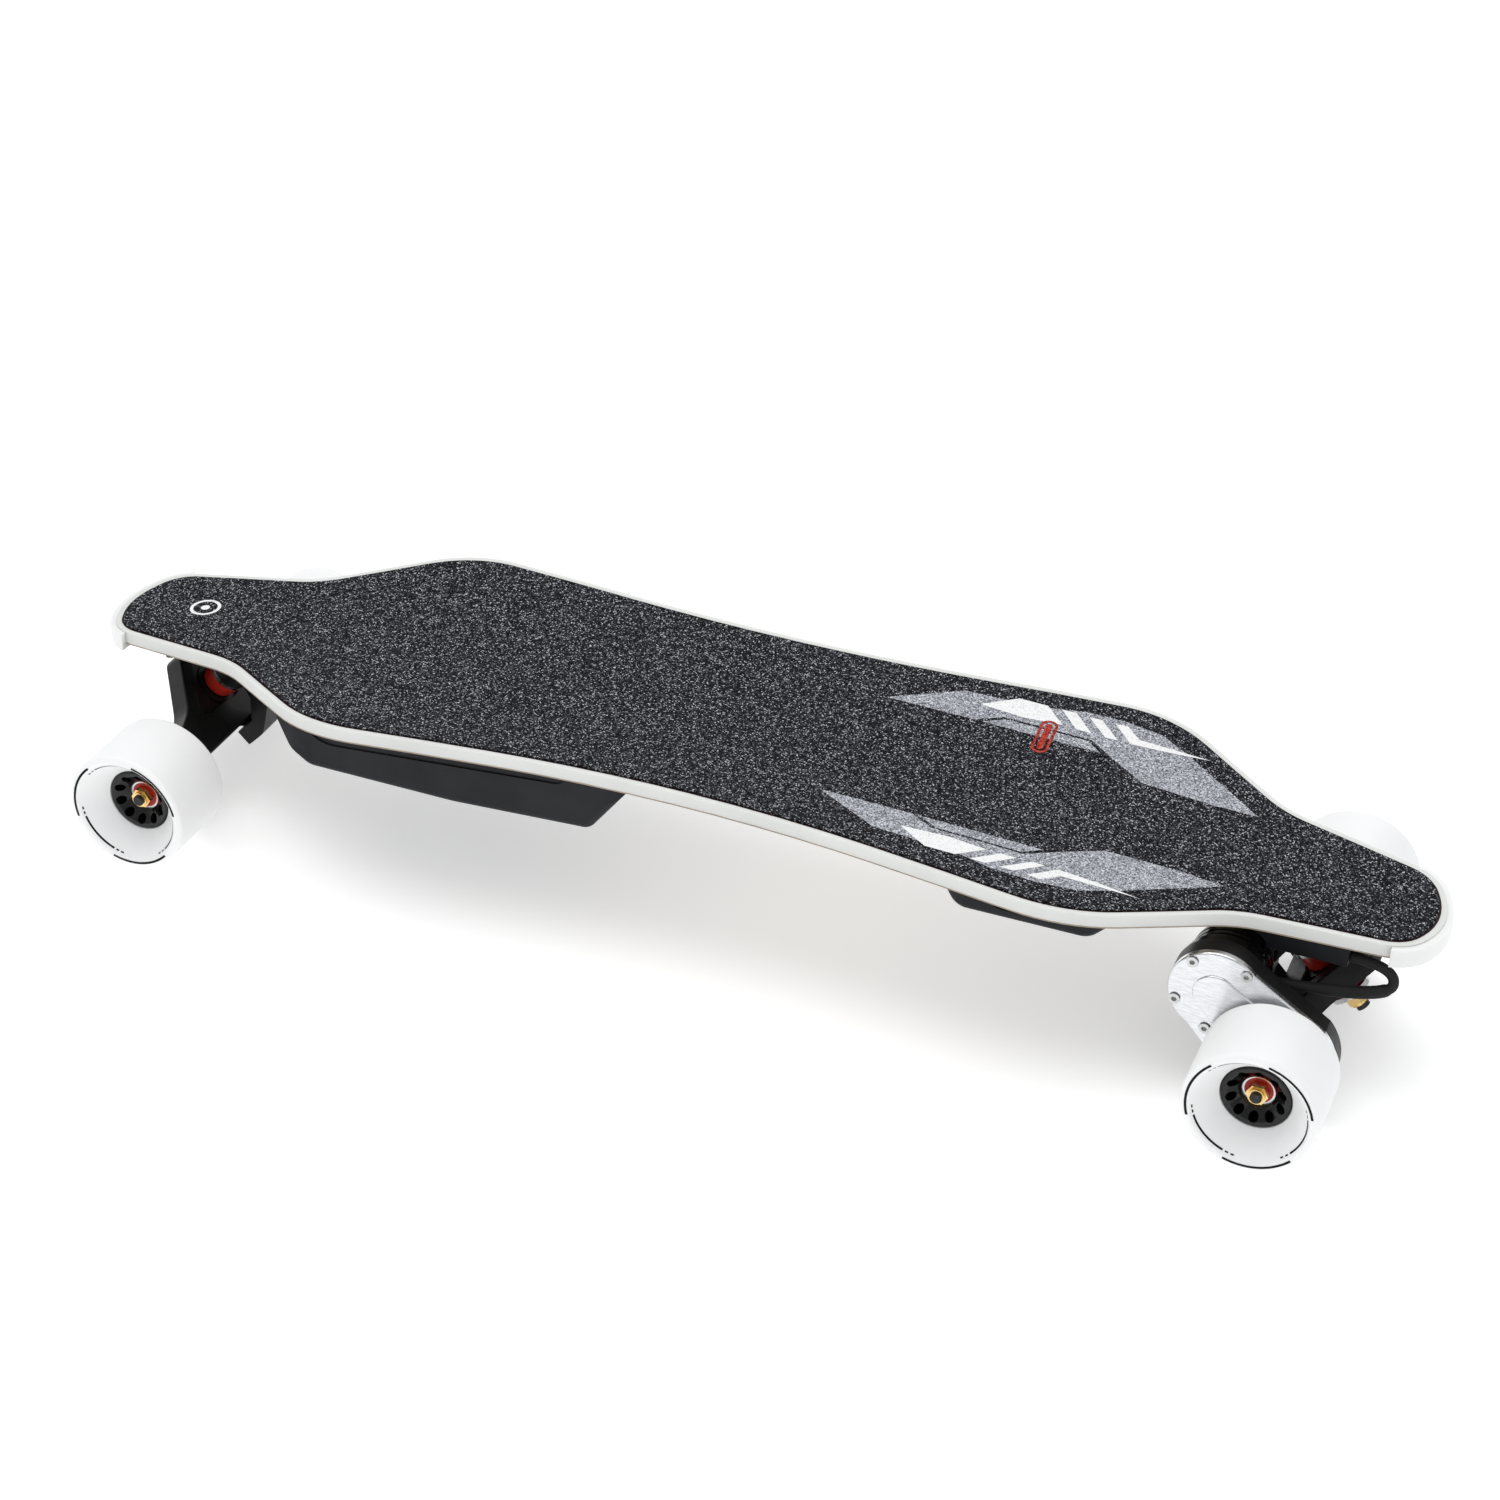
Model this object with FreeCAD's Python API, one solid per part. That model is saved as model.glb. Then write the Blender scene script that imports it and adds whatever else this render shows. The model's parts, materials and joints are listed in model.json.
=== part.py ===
import FreeCAD, Part
import math
import os

os.makedirs("parts", exist_ok=True)

# Electric longboard. Millimetres, +Z up, the ground at z = 0.
# The origin is on the ground midway between the axles. +X points to the tail
# (the driven end) and +Y is across the board.

V = FreeCAD.Vector
CENTRE = V(0, 0, 0)
X_AXIS = V(1, 0, 0)
Y_AXIS = V(0, 1, 0)
Z_AXIS = V(0, 0, 1)

# ---- Driving dimensions -------------------------------------------------

WHEEL_R = 45.0
AXLE_X = 408.25              # half the wheelbase
WHEEL_OUT_Y = 152.2          # outer face of a wheel
WHEEL_WIDTH = 61.5

DECK_TOP = 143.9             # grip surface at the middle of the board
CAMBER_R = 5400.0            # the deck arches up lengthways
CONCAVE_R = 970.0            # and dishes down across
GRIP_T = 1.0
VENEER_T = 1.0
CORE_T = 8.0
BOTTOM_T = 1.0
DECK_T = GRIP_T + VENEER_T + CORE_T + BOTTOM_T

GRIP_INSET = 1.6             # strip of dark veneer seen beside the grip
RAIL_W = 4.0
BUMPER_W = 4.5               # beyond the rail
BUMPER_TOP = 1.8             # depth of the bumper's upper edge
BUMPER_T = 15.0
BUMPER_START = 466.0

KINGPIN_TILT = 44.0          # from the vertical, leaning outward at the nut
RAKE = 3.0                   # the axle hangs this far under the pivot axis
SEAT_S = 24.0                # kingpin seat, along the pivot axis
SEAT_HALF = 5.0
BUSHING_T = 15.0
WASHER_T = 2.0
NUT_T = 10.0
KINGPIN_R = 4.9
PLATE_T = 7.0
RISER_T = 9.5

AXLE_R = 3.95
BEARING_BORE_R = 4.0
BEARING_R = 11.0
BEARING_W = 7.0
BEARING_OUT_Y = 125.2
CORE_IN_Y = 93.5
CORE_OUT_Y = 134.0
CORE_R = 23.8

GEAR_MODULE = 1.25
PINION_TEETH = 14
IDLER_TEETH = 16
WHEEL_TEETH = 44
GEAR_W = 8.0
GEAR_IN_Y = 76.5
DRIVE_ANGLE = 140.0          # from the axle up and inward to the motor
PLATE_IN_Y = 70.0
PLATE_OUT_Y = 75.0           # floor of the gear case
CASE_RIM_Y = 83.0            # rim of the gear case, where the cover sits
COVER_OUT_Y = 88.8


# ---- Shared shapes ------------------------------------------------------

def save(name, *solids):
    shape = solids[0] if len(solids) == 1 else Part.makeCompound(list(solids))
    shape.exportStep("parts/" + name + ".step")


def box(x0, x1, y0, y1, z0, z1):
    return Part.makeBox(x1 - x0, y1 - y0, z1 - z0, V(x0, y0, z0))


def rod(radius, start, end):
    return Part.makeCylinder(radius, (end - start).Length, start, end - start)


def tube(outer, inner, start, end):
    return rod(outer, start, end).cut(rod(inner, start, end))


def across(radius, y0, y1, x=0.0, z=0.0):
    """A rod along Y."""
    return rod(radius, V(x, y0, z), V(x, y1, z))


def join(solids):
    result = solids[0]
    for other in solids[1:]:
        result = result.fuse(other)
    return result.removeSplitter()


def trim(shape, *tools):
    for tool in tools:
        shape = shape.cut(tool)
    return shape


def rounded_wire(corners):
    """A closed wire through corner points (x, y, radius) in the XY plane."""
    edges = []
    starts = []
    ends = []
    arcs = []
    count = len(corners)
    for i in range(count):
        x, y, radius = corners[i]
        here = V(x, y, 0)
        before = V(*corners[i - 1][:2], 0) - here
        after = V(*corners[(i + 1) % count][:2], 0) - here
        before.normalize()
        after.normalize()
        half = before.getAngle(after) / 2
        reach = radius / math.tan(half)
        start = here + before * reach
        end = here + after * reach
        bisector = before + after
        bisector.normalize()
        middle = here + bisector * (radius / math.sin(half) - radius)
        starts.append(start)
        ends.append(end)
        arcs.append(None if radius == 0 else Part.Arc(start, middle, end).toShape())
    for i in range(count):
        if arcs[i] is not None:
            edges.append(arcs[i])
        following = starts[(i + 1) % count]
        if ends[i].distanceToPoint(following) > 1e-6:
            edges.append(Part.LineSegment(ends[i], following).toShape())
    return Part.Wire(edges)


def rounded_slab(corners, z0, z1):
    face = Part.Face(rounded_wire(corners))
    face.translate(V(0, 0, z0))
    return face.extrude(V(0, 0, z1 - z0))


def side_slab(corners, y0, y1):
    """A rounded outline given as (x, z, radius), drawn out along Y."""
    slab = rounded_slab(corners, -y1, -y0)
    slab.rotate(CENTRE, X_AXIS, 90)
    return slab


def turned(profile):
    """A solid turned about the Y axis from corners (radius, y, rounding)."""
    face = Part.Face(rounded_wire(profile))
    return face.revolve(CENTRE, Y_AXIS, 360)


def mirrored(shape):
    """The same piece on the other side of the board."""
    return shape.mirror(CENTRE, Y_AXIS)


def hexagon(across_flats, start, end):
    radius = across_flats / math.sqrt(3)
    axis = end - start
    points = []
    for k in range(7):
        angle = math.radians(60 * k)
        points.append(V(radius * math.cos(angle), radius * math.sin(angle), 0))
    prism = Part.Face(Part.makePolygon(points)).extrude(V(0, 0, axis.Length))
    prism.Placement = FreeCAD.Placement(start, FreeCAD.Rotation(Z_AXIS, axis))
    return prism


# ---- Deck ---------------------------------------------------------------

# The wooden deck's outline, alike nose to tail and side to side: a gentle
# waist, a shoulder, a straight run in to the wheel cut-out and a round tip.
WAIST = (0.0, 99.2, 1290.0)
QUARTER = [
    (270.5, 128.7, 95.0),
    (367.0, 61.6, 80.0),
    (474.0, 41.9, 30.0),
]
TIP = (492.5, 0.0, 60.0)


def deck_outline():
    quarter_back = list(reversed(QUARTER))
    corners = [WAIST]
    corners += QUARTER
    corners += [TIP]
    corners += [(x, -y, r) for x, y, r in quarter_back]
    corners += [(WAIST[0], -WAIST[1], WAIST[2])]
    corners += [(-x, -y, r) for x, y, r in QUARTER]
    corners += [(-TIP[0], TIP[1], TIP[2])]
    corners += [(-x, y, r) for x, y, r in quarter_back]
    return rounded_wire(corners)


def outline_prism(margin):
    """A tall prism of the deck's outline, grown outward by a margin."""
    wire = deck_outline()
    if margin:
        wire = wire.makeOffset2D(margin)
    face = Part.Face(wire)
    return face.extrude(V(0, 0, 2 * DECK_TOP))


def deck_band(depth_top, depth_bottom):
    """The curved layer between two depths under the grip surface."""
    half_length = 560.0
    half_width = 150.0
    sweep = math.degrees(math.asin(half_length / CAMBER_R))

    def arc_at(depth):
        radius = CONCAVE_R + depth
        rise = radius - math.sqrt(radius ** 2 - half_width ** 2)
        low = DECK_TOP - depth
        left = V(0, -half_width, low + rise)
        right = V(0, half_width, low + rise)
        return left, V(0, 0, low), right

    upper = arc_at(depth_top)
    lower = arc_at(depth_bottom)
    edges = [
        Part.Arc(*upper).toShape(),
        Part.LineSegment(upper[2], lower[2]).toShape(),
        Part.Arc(*reversed(lower)).toShape(),
        Part.LineSegment(lower[0], upper[0]).toShape(),
    ]
    face = Part.Face(Part.Wire(edges))
    hub = V(0, 0, DECK_TOP - CAMBER_R)
    face.rotate(hub, Y_AXIS, -sweep)
    return face.revolve(hub, Y_AXIS, 2 * sweep)


def under_deck_z(x, y=0.0):
    """Height of the deck's underside."""
    top = DECK_TOP - DECK_T - CAMBER_R + math.sqrt(CAMBER_R ** 2 - x ** 2)
    return top + y ** 2 / (2 * CONCAVE_R)


def at_ends(shape):
    """What lies beyond the place where the bumpers start."""
    return shape.cut(box(-BUMPER_START, BUMPER_START, -200, 200, 0, 2 * DECK_TOP))


def build_deck(fasteners):
    grip_edge = outline_prism(-GRIP_INSET)
    core_edge = outline_prism(0)
    rail_edge = outline_prism(RAIL_W)
    bumper_edge = outline_prism(RAIL_W + BUMPER_W)
    core_top = GRIP_T + VENEER_T
    core_bottom = core_top + CORE_T

    save("grip_tape", deck_band(0, GRIP_T).common(grip_edge))
    save("top_veneer", deck_band(GRIP_T, core_top).common(core_edge))
    core = deck_band(core_top, core_bottom).common(core_edge)
    save("deck_core", trim(core, *fasteners))

    rail_ring = rail_edge.cut(core_edge)
    save("edge_rail", deck_band(GRIP_T, core_bottom).common(rail_ring))

    # A bumper stands outside the rail at each end and turns in under it.
    foot_ring = at_ends(rail_ring)
    under = deck_band(core_bottom, DECK_T).common(rail_edge)
    save("bottom_veneer", trim(under, foot_ring, *fasteners))
    lip = deck_band(BUMPER_TOP, BUMPER_T).common(at_ends(bumper_edge.cut(rail_edge)))
    foot = deck_band(core_bottom, BUMPER_T).common(foot_ring)
    save("end_bumpers", *join([lip, foot]).Solids)


# ---- Battery and controller boxes --------------------------------------

WALL = 3.0
GASKET_T = 0.8
FLOOR_Z = 80.5
BATTERY_HALF_Y = 92.0
BATTERY_SIDE = [
    (-338.0, 136.0, 0),
    (-329.0, 105.0, 8),
    (-293.0, FLOOR_Z, 16),
    (-180.0, FLOOR_Z, 60),
    (-76.0, FLOOR_Z + 6.5, 10),
    (-36.0, 140.0, 0),
]
# Lower edge of the panel pressed into the battery box's sides.
BATTERY_PANEL = [
    (-330.0, 150.0, 0),
    (-284.0, 102.0, 30),
    (-94.0, 119.0, 12),
    (-84.0, 150.0, 0),
]
# How a box narrows in plan: in from its sides and over what length, first at
# the end towards the nose and then at the end towards the tail.
BATTERY_TAPER = (26.0, 34.0, 10.0, 24.0)
ESC_TAPER = (5.0, 12.0, 3.0, 9.0)
ESC_HALF_Y = 86.0
ESC_FLOOR_Z = 96.0
ESC_SIDE = [
    (160.0, 140.0, 0),
    (186.0, ESC_FLOOR_Z, 14),
    (278.0, ESC_FLOOR_Z + 1, 16),
    (310.0, 130.0, 0),
]
RIM_ROUND = 5.0              # rounding of a box's long lower edges
BATTERY_SCREW_XS = (-281.0, -184.5, -88.0)
ESC_SCREW_XS = (198.0, 266.0)
# The scoop in the controller box's sides.
ESC_SCOOP = [
    (196.0, 150.0, 0),
    (206.0, 104.0, 16),
    (262.0, 104.0, 16),
    (276.0, 150.0, 0),
]
SCREW_R = 2.0
HEAD_R = 3.8
SCREW_BITE = 7.5             # how far a screw goes into the deck
CELL_R = 10.6
CELL_LENGTH = 66.0
CELL_COLUMNS = 9
CELL_SPAN = (-271.0, -97.0)

SWITCH_R = 6.0
SWITCH_X = -236.0
SWITCH_Z = 96.0
SOCKET_R = 5.5
SOCKET_X = -205.0
CAP_Z = SWITCH_Z + 11.0      # hinge line of the charging cap


def below_deck(gap=0.0):
    """The space under the deck, down to the ground."""
    return deck_band(DECK_T + gap, DECK_TOP)


def hollow_box(side, half_y, taper):
    """A box with sloping ends: its outside and the hollow inside it."""
    outer = side_slab(side, -half_y, half_y)
    rims = [e for e in outer.Edges if is_floor_edge(e, half_y)]
    outer = outer.makeFillet(RIM_ROUND, rims)
    x0 = side[0][0]
    x1 = side[-1][0]
    nose_in, nose_run, tail_in, tail_run = taper
    plan = [
        (x0, -half_y + nose_in, 0),
        (x0 + nose_run, -half_y, 30),
        (x1 - tail_run, -half_y, 20),
        (x1, -half_y + tail_in, 0),
        (x1, half_y - tail_in, 0),
        (x1 - tail_run, half_y, 20),
        (x0 + nose_run, half_y, 30),
        (x0, half_y - nose_in, 0),
    ]
    outer = outer.common(rounded_slab(plan, 0, 2 * DECK_TOP))
    height = 60.0
    floor = min(z for x, z, r in side)
    middle = V((x0 + x1) / 2, 0, floor + height)
    inner = outer.copy()
    inner.translate(middle * -1)
    shrink = FreeCAD.Matrix()
    shrink.scale(1 - 2.6 * WALL / (x1 - x0), 1 - WALL / half_y, 1 - WALL / height)
    inner = inner.transformGeometry(shrink)
    inner.translate(middle)
    return outer, inner


def is_floor_edge(edge, half_y):
    """The long lower edges on the two side faces."""
    ys = [v.Point.y for v in edge.Vertexes]
    on_side = all(abs(abs(y) - half_y) < 0.01 for y in ys)
    same_side = abs(ys[0] - ys[-1]) < 0.01
    below_top = edge.BoundBox.ZMin < 129.0
    return on_side and same_side and below_top


def side_cuts(outline, half_y, depth):
    """A shallow shape pressed into both long sides of a box."""
    near = side_slab(outline, -half_y - 1, -half_y + depth)
    return [near, mirrored(near)]


def screw_places(screw_xs, half_y):
    return [(x, sign * (half_y - 13)) for x in screw_xs for sign in (-1, 1)]


def floor_height(side, x):
    """Underside of a box at a place along it."""
    points = side[1:-1]
    for (xa, za, _), (xb, zb, _) in zip(points, points[1:]):
        if xa <= x <= xb:
            return za + (zb - za) * (x - xa) / (xb - xa)
    return points[0][1]


def build_enclosure(side, half_y, taper, screw_xs):
    """The shell of a box, the gasket on its rim and its screws."""
    outer, inner = hollow_box(side, half_y, taper)
    shell = outer.cut(inner)
    posts = []
    screws = []
    for x, y in screw_places(screw_xs, half_y):
        floor = floor_height(side, x)
        posts.append(rod(5.5, V(x, y, floor + 1), V(x, y, 150)))
        head = rod(HEAD_R, V(x, y, floor + 1.0), V(x, y, floor + 3.5))
        socket = hexagon(3.0, V(x, y, floor + 0.5), V(x, y, floor + 2.4))
        shank = rod(SCREW_R, V(x, y, floor + 3.4), V(x, y, under_deck_z(x, y) + SCREW_BITE))
        screws.append(join([head, shank]).cut(socket))
    shell = join([shell] + posts)
    shell = shell.common(outer).common(below_deck(GASKET_T))
    for x, y in screw_places(screw_xs, half_y):
        floor = floor_height(side, x)
        pocket = rod(HEAD_R + 0.3, V(x, y, floor - 5), V(x, y, floor + 3.5))
        hole = rod(SCREW_R, V(x, y, floor), V(x, y, 150))
        shell = trim(shell, pocket, hole)
    gasket = outer.cut(inner).common(deck_band(DECK_T, DECK_T + GASKET_T))
    return shell, gasket, screws


def build_battery():
    shell, gasket, screws = build_enclosure(BATTERY_SIDE, BATTERY_HALF_Y, BATTERY_TAPER, BATTERY_SCREW_XS)
    shell = trim(shell, *side_cuts(BATTERY_PANEL, BATTERY_HALF_Y, 1.2))

    cells = []
    first, last = CELL_SPAN
    for k in range(CELL_COLUMNS):
        x = first + (last - first) * k / (CELL_COLUMNS - 1)
        z = max(FLOOR_Z, floor_height(BATTERY_SIDE, x)) + WALL + CELL_R + 2.0
        for y0 in (-CELL_LENGTH - 1, 1):
            cells.append(across(CELL_R, y0, y0 + CELL_LENGTH, x, z))
    save("battery_cells", *cells)

    # The battery's circuit board lies on the cells, under its four chips.
    board_z = FLOOR_Z + 28.5
    board = box(-268, -180, -40, 40, board_z, board_z + 1.6)
    chips = [box(x, x + 9, -12, 12, board_z + 1.6, board_z + 4.1) for x in (-258, -240, -222, -204)]
    save("battery_board", join([board] + chips))

    # The switch and the charging socket are on the far long side.
    wall_y = BATTERY_HALF_Y
    switch = V(SWITCH_X, wall_y, SWITCH_Z)
    socket = V(SOCKET_X, wall_y, SWITCH_Z)
    shell = shell.cut(rod(SWITCH_R + 0.15, switch - V(0, 8, 0), switch + V(0, 2, 0)))
    shell = shell.cut(rod(SOCKET_R, socket - V(0, 8, 0), socket + V(0, 2, 0)))
    save("battery_enclosure", shell)

    button = rod(SWITCH_R, switch - V(0, 5.5, 0), switch + V(0, 1.2, 0))
    flange = rod(SWITCH_R + 2, switch - V(0, 6.5, 0), switch - V(0, WALL + 1.5, 0))
    ring = tube(SWITCH_R - 1.4, SWITCH_R - 2.2, switch + V(0, 0.9, 0), switch + V(0, 1.3, 0))
    save("power_button", join([button, flange]).cut(ring))

    barrel = rod(SOCKET_R, socket - V(0, 14, 0), socket + V(0, 0.2, 0))
    bore = rod(SOCKET_R - 1.8, socket - V(0, 11, 0), socket + V(0, 1, 0))
    pin = rod(1.1, socket - V(0, 12, 0), socket - V(0, 2, 0))
    save("charge_socket", join([barrel.cut(bore), pin]))

    # A soft flap that hangs from a small pin above the socket.
    lid = rod(SOCKET_R + 2.5, socket + V(0, 0.6, 0), socket + V(0, 2.4, 0))
    tab = box(SOCKET_X - 3, SOCKET_X + 3, wall_y + 0.6, wall_y + 2.4, SWITCH_Z, CAP_Z)
    eye = rod(2.0, V(SOCKET_X - 3, wall_y + 2.4, CAP_Z), V(SOCKET_X + 3, wall_y + 2.4, CAP_Z))
    plug = rod(SOCKET_R - 2.3, socket - V(0, 1.2, 0), socket + V(0, 0.7, 0))
    pin_hole = rod(1.05, V(SOCKET_X - 9, wall_y + 2.4, CAP_Z), V(SOCKET_X + 9, wall_y + 2.4, CAP_Z))
    save("charge_cap", join([lid, tab, eye, plug]).cut(pin_hole))

    ears = []
    for x in (SOCKET_X - 5.2, SOCKET_X + 3.3):
        ears.append(box(x, x + 1.9, wall_y - 2, wall_y + 4.4, CAP_Z - 2, CAP_Z + 2))
    pin = rod(1.0, V(SOCKET_X - 5.2, wall_y + 2.4, CAP_Z), V(SOCKET_X + 5.2, wall_y + 2.4, CAP_Z))
    save("cap_hinge", join(ears + [pin]).cut(shell))
    return gasket, screws


def build_controller():
    shell, gasket, screws = build_enclosure(ESC_SIDE, ESC_HALF_Y, ESC_TAPER, ESC_SCREW_XS)
    shell = trim(shell, *side_cuts(ESC_SCOOP, ESC_HALF_Y, 2.0))
    save("controller_enclosure", shell)

    # The controller's circuit board and its row of capacitors.
    board_z = ESC_FLOOR_Z + 10
    board_top = board_z + 1.6
    board = box(196, 268, -62, 62, board_z, board_top)
    drums = []
    for y in (-48, -24, 0, 24, 48):
        drums.append(rod(6.0, V(258, y, board_top), V(258, y, board_top + 10.4)))
    save("controller_board", join([board] + drums))
    return gasket, screws


# ---- Trucks -------------------------------------------------------------

# A truck is built at the rear end, then turned round for the front.
# Pivot frame: X runs out and up along the pivot axis, Y is across the board
# and Z is square to both, along the kingpin towards the deck.

TILT = math.radians(KINGPIN_TILT)
PIVOT_POINT = V(AXLE_X - RAKE * math.sin(TILT), 0, WHEEL_R + RAKE * math.cos(TILT))
BEAM_HALF = 11.0
APEX_S = 58.0
APEX_HALF = 14.0
RIB_W = 9.0
RIB_TOP = 8.0
RIB_LOW = -10.0
SEAT_R = 17.0
SEAT_BORE_R = 7.6
NOSE_R = 5.0
CUP_S = -14.0
CUP_END_S = -24.5
CUP_R = 8.0
HOUSING_R = 10.5
BOSS_R = 15.0
BOLT_PLACES = [(u, y) for u in (-38.0, 38.0) for y in (-20.0, 20.0)]
PLATE_HALF_X = 50.0
PLATE_HALF_Y = 28.0
DECK_SLOPE = math.degrees(math.asin(AXLE_X / CAMBER_R))
BOLT_R = 2.5
BOLT_BITE = 7.5              # how far a bolt goes into the deck

# Places along the kingpin, measured from the middle of the hanger's seat.
BOSS_N = SEAT_HALF + BUSHING_T + WASHER_T
HEAD_N = BOSS_N + 16.0
NUT_N = -BOSS_N

# Half the length of a hanger's axle housing, and how far its web reaches.
FRONT_END_Y = 89.8
REAR_END_Y = PLATE_OUT_Y
HOUSING_END_R = 9.0
FRONT_WEB_Y = 84.0
REAR_WEB_Y = 66.0


def to_pivot(shape):
    shape = shape.copy()
    shape.rotate(CENTRE, Y_AXIS, -KINGPIN_TILT)
    shape.translate(PIVOT_POINT)
    return shape


def pivot_xz(s, n):
    """Side-view place (x, z) of a point given in the pivot frame."""
    x = PIVOT_POINT.x + s * math.cos(TILT) - n * math.sin(TILT)
    z = PIVOT_POINT.z + s * math.sin(TILT) + n * math.cos(TILT)
    return x, z


def both_ends(shape):
    """The rear piece and the same piece turned round for the front."""
    front = shape.copy()
    front.rotate(CENTRE, Z_AXIS, 180)
    return [front, shape]


def on_kingpin(radius, n0, n1, radius_end=None):
    if radius_end is None or radius_end == radius:
        shape = Part.makeCylinder(radius, n1 - n0, V(SEAT_S, 0, n0))
    else:
        shape = Part.makeCone(radius, radius_end, n1 - n0, V(SEAT_S, 0, n0))
    return shape


def plate_frame(shape):
    """Lays a flat piece, built about the axle line, parallel to the deck."""
    shape = shape.copy()
    shape.rotate(CENTRE, Y_AXIS, DECK_SLOPE)
    shape.translate(V(AXLE_X, 0, under_deck_z(AXLE_X) - RISER_T))
    return shape


def base_plate():
    corners = [
        (-PLATE_HALF_X, -PLATE_HALF_Y, 12),
        (PLATE_HALF_X, -PLATE_HALF_Y, 12),
        (PLATE_HALF_X, PLATE_HALF_Y, 12),
        (-PLATE_HALF_X, PLATE_HALF_Y, 12),
    ]
    slab = rounded_slab(corners, -PLATE_T, 0)
    slab = slab.makeFillet(1.5, [e for e in slab.Edges if e.BoundBox.ZMax < -PLATE_T + 0.01])
    plate = plate_frame(slab)

    top = under_deck_z(AXLE_X) - RISER_T - 2
    leg_side = [
        (*pivot_xz(CUP_S, 14), 0),
        (*pivot_xz(CUP_S, -4), 0),
        (*pivot_xz(CUP_END_S - 2, -4), 3),
        (*pivot_xz(CUP_END_S - 2, 14), 10),
        (AXLE_X - 44, top, 0),
        (AXLE_X - 22, top, 0),
    ]
    leg = side_slab(leg_side, -11, 11)
    rib = side_slab(
        [
            (*pivot_xz(CUP_S, 20), 0),
            (AXLE_X - 24, top, 0),
            (AXLE_X + 30, top - 3, 0),
            (*pivot_xz(SEAT_S, 30), 0),
        ],
        -6,
        6,
    )
    housing = to_pivot(rod(HOUSING_R, V(CUP_END_S - 2, 0, 0), V(CUP_S, 0, 0)))
    boss = to_pivot(on_kingpin(BOSS_R, BOSS_N, 60))
    below_plate = plate_frame(box(-90, 90, -60, 60, -120, -1))
    body = join([leg, rib, housing, boss]).common(below_plate)
    body = join([plate, body])

    bore = to_pivot(rod(CUP_R, V(CUP_END_S, 0, 0), V(CUP_S + 1, 0, 0)))
    pin_hole = to_pivot(on_kingpin(KINGPIN_R, BOSS_N - 1, 60))
    head_room = to_pivot(on_kingpin(9.6, HEAD_N, 90))
    body = trim(body, bore, pin_hole, head_room)
    for u, y in BOLT_PLACES:
        hole = plate_frame(rod(BOLT_R + 0.1, V(u, y, -60), V(u, y, 10)))
        recess = plate_frame(rod(5.2, V(u, y, -60), V(u, y, -PLATE_T + 1.0)))
        body = trim(body, hole, recess)
    return body


def riser_pad():
    corners = [
        (-PLATE_HALF_X - 3, -PLATE_HALF_Y - 1.5, 13),
        (PLATE_HALF_X + 3, -PLATE_HALF_Y - 1.5, 13),
        (PLATE_HALF_X + 3, PLATE_HALF_Y + 1.5, 13),
        (-PLATE_HALF_X - 3, PLATE_HALF_Y + 1.5, 13),
    ]
    pad = plate_frame(rounded_slab(corners, 0, 20)).common(below_deck())
    for u, y in BOLT_PLACES:
        pad = pad.cut(plate_frame(rod(BOLT_R + 0.1, V(u, y, -5), V(u, y, 25))))
    return pad.cut(to_pivot(on_kingpin(9.6, HEAD_N, 90)))


def truck_bolts():
    bolts = []
    for u, y in BOLT_PLACES:
        head = rod(4.4, V(u, y, -PLATE_T - 3.6), V(u, y, -PLATE_T + 1.0))
        socket = hexagon(4.0, V(u, y, -PLATE_T - 4), V(u, y, -PLATE_T - 1.4))
        shank = rod(BOLT_R, V(u, y, -PLATE_T), V(u, y, RISER_T + BOLT_BITE))
        bolts.append(plate_frame(join([head, shank]).cut(socket)))
    return bolts


def kingpin():
    shank = on_kingpin(KINGPIN_R, NUT_N - NUT_T - 4, HEAD_N)
    head = hexagon(15.0, V(SEAT_S, 0, HEAD_N), V(SEAT_S, 0, HEAD_N + 6))
    return to_pivot(join([shank, head]))


def kingpin_nut():
    body = hexagon(15.0, V(SEAT_S, 0, NUT_N - NUT_T + 2), V(SEAT_S, 0, NUT_N))
    crown = on_kingpin(6.6, NUT_N - NUT_T, NUT_N - NUT_T + 2.2)
    bore = on_kingpin(KINGPIN_R, NUT_N - NUT_T - 1, NUT_N + 1)
    return to_pivot(join([body, crown]).cut(bore))


def cup_washer(n0, n1, lip_n):
    """A dished washer whose lip turns over the bushing."""
    disc = on_kingpin(14.6, n0, n1)
    lip = on_kingpin(14.6, min(n0, lip_n), max(n1, lip_n)).cut(on_kingpin(13.6, n0 - 5, n1 + 5))
    bore = on_kingpin(KINGPIN_R, n0 - 5, n1 + 5)
    return to_pivot(join([disc, lip]).cut(bore))


def bushings():
    bore = on_kingpin(KINGPIN_R, -60, 60)
    barrel = on_kingpin(13.5, SEAT_HALF + 0.05, SEAT_HALF + BUSHING_T)
    cone = on_kingpin(10.5, -SEAT_HALF - BUSHING_T, -SEAT_HALF - 0.05, 13.5)
    barrel = barrel.makeFillet(1.5, [e for e in barrel.Edges if e.Closed])
    return to_pivot(barrel.cut(bore)), to_pivot(cone.cut(bore))


def pivot_cup():
    outer = rod(CUP_R, V(CUP_END_S, 0, 0), V(CUP_S - 0.3, 0, 0))
    inner = rod(NOSE_R + 0.08, V(CUP_END_S + 1.5, 0, 0), V(CUP_S, 0, 0))
    return to_pivot(outer.cut(inner))


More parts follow.
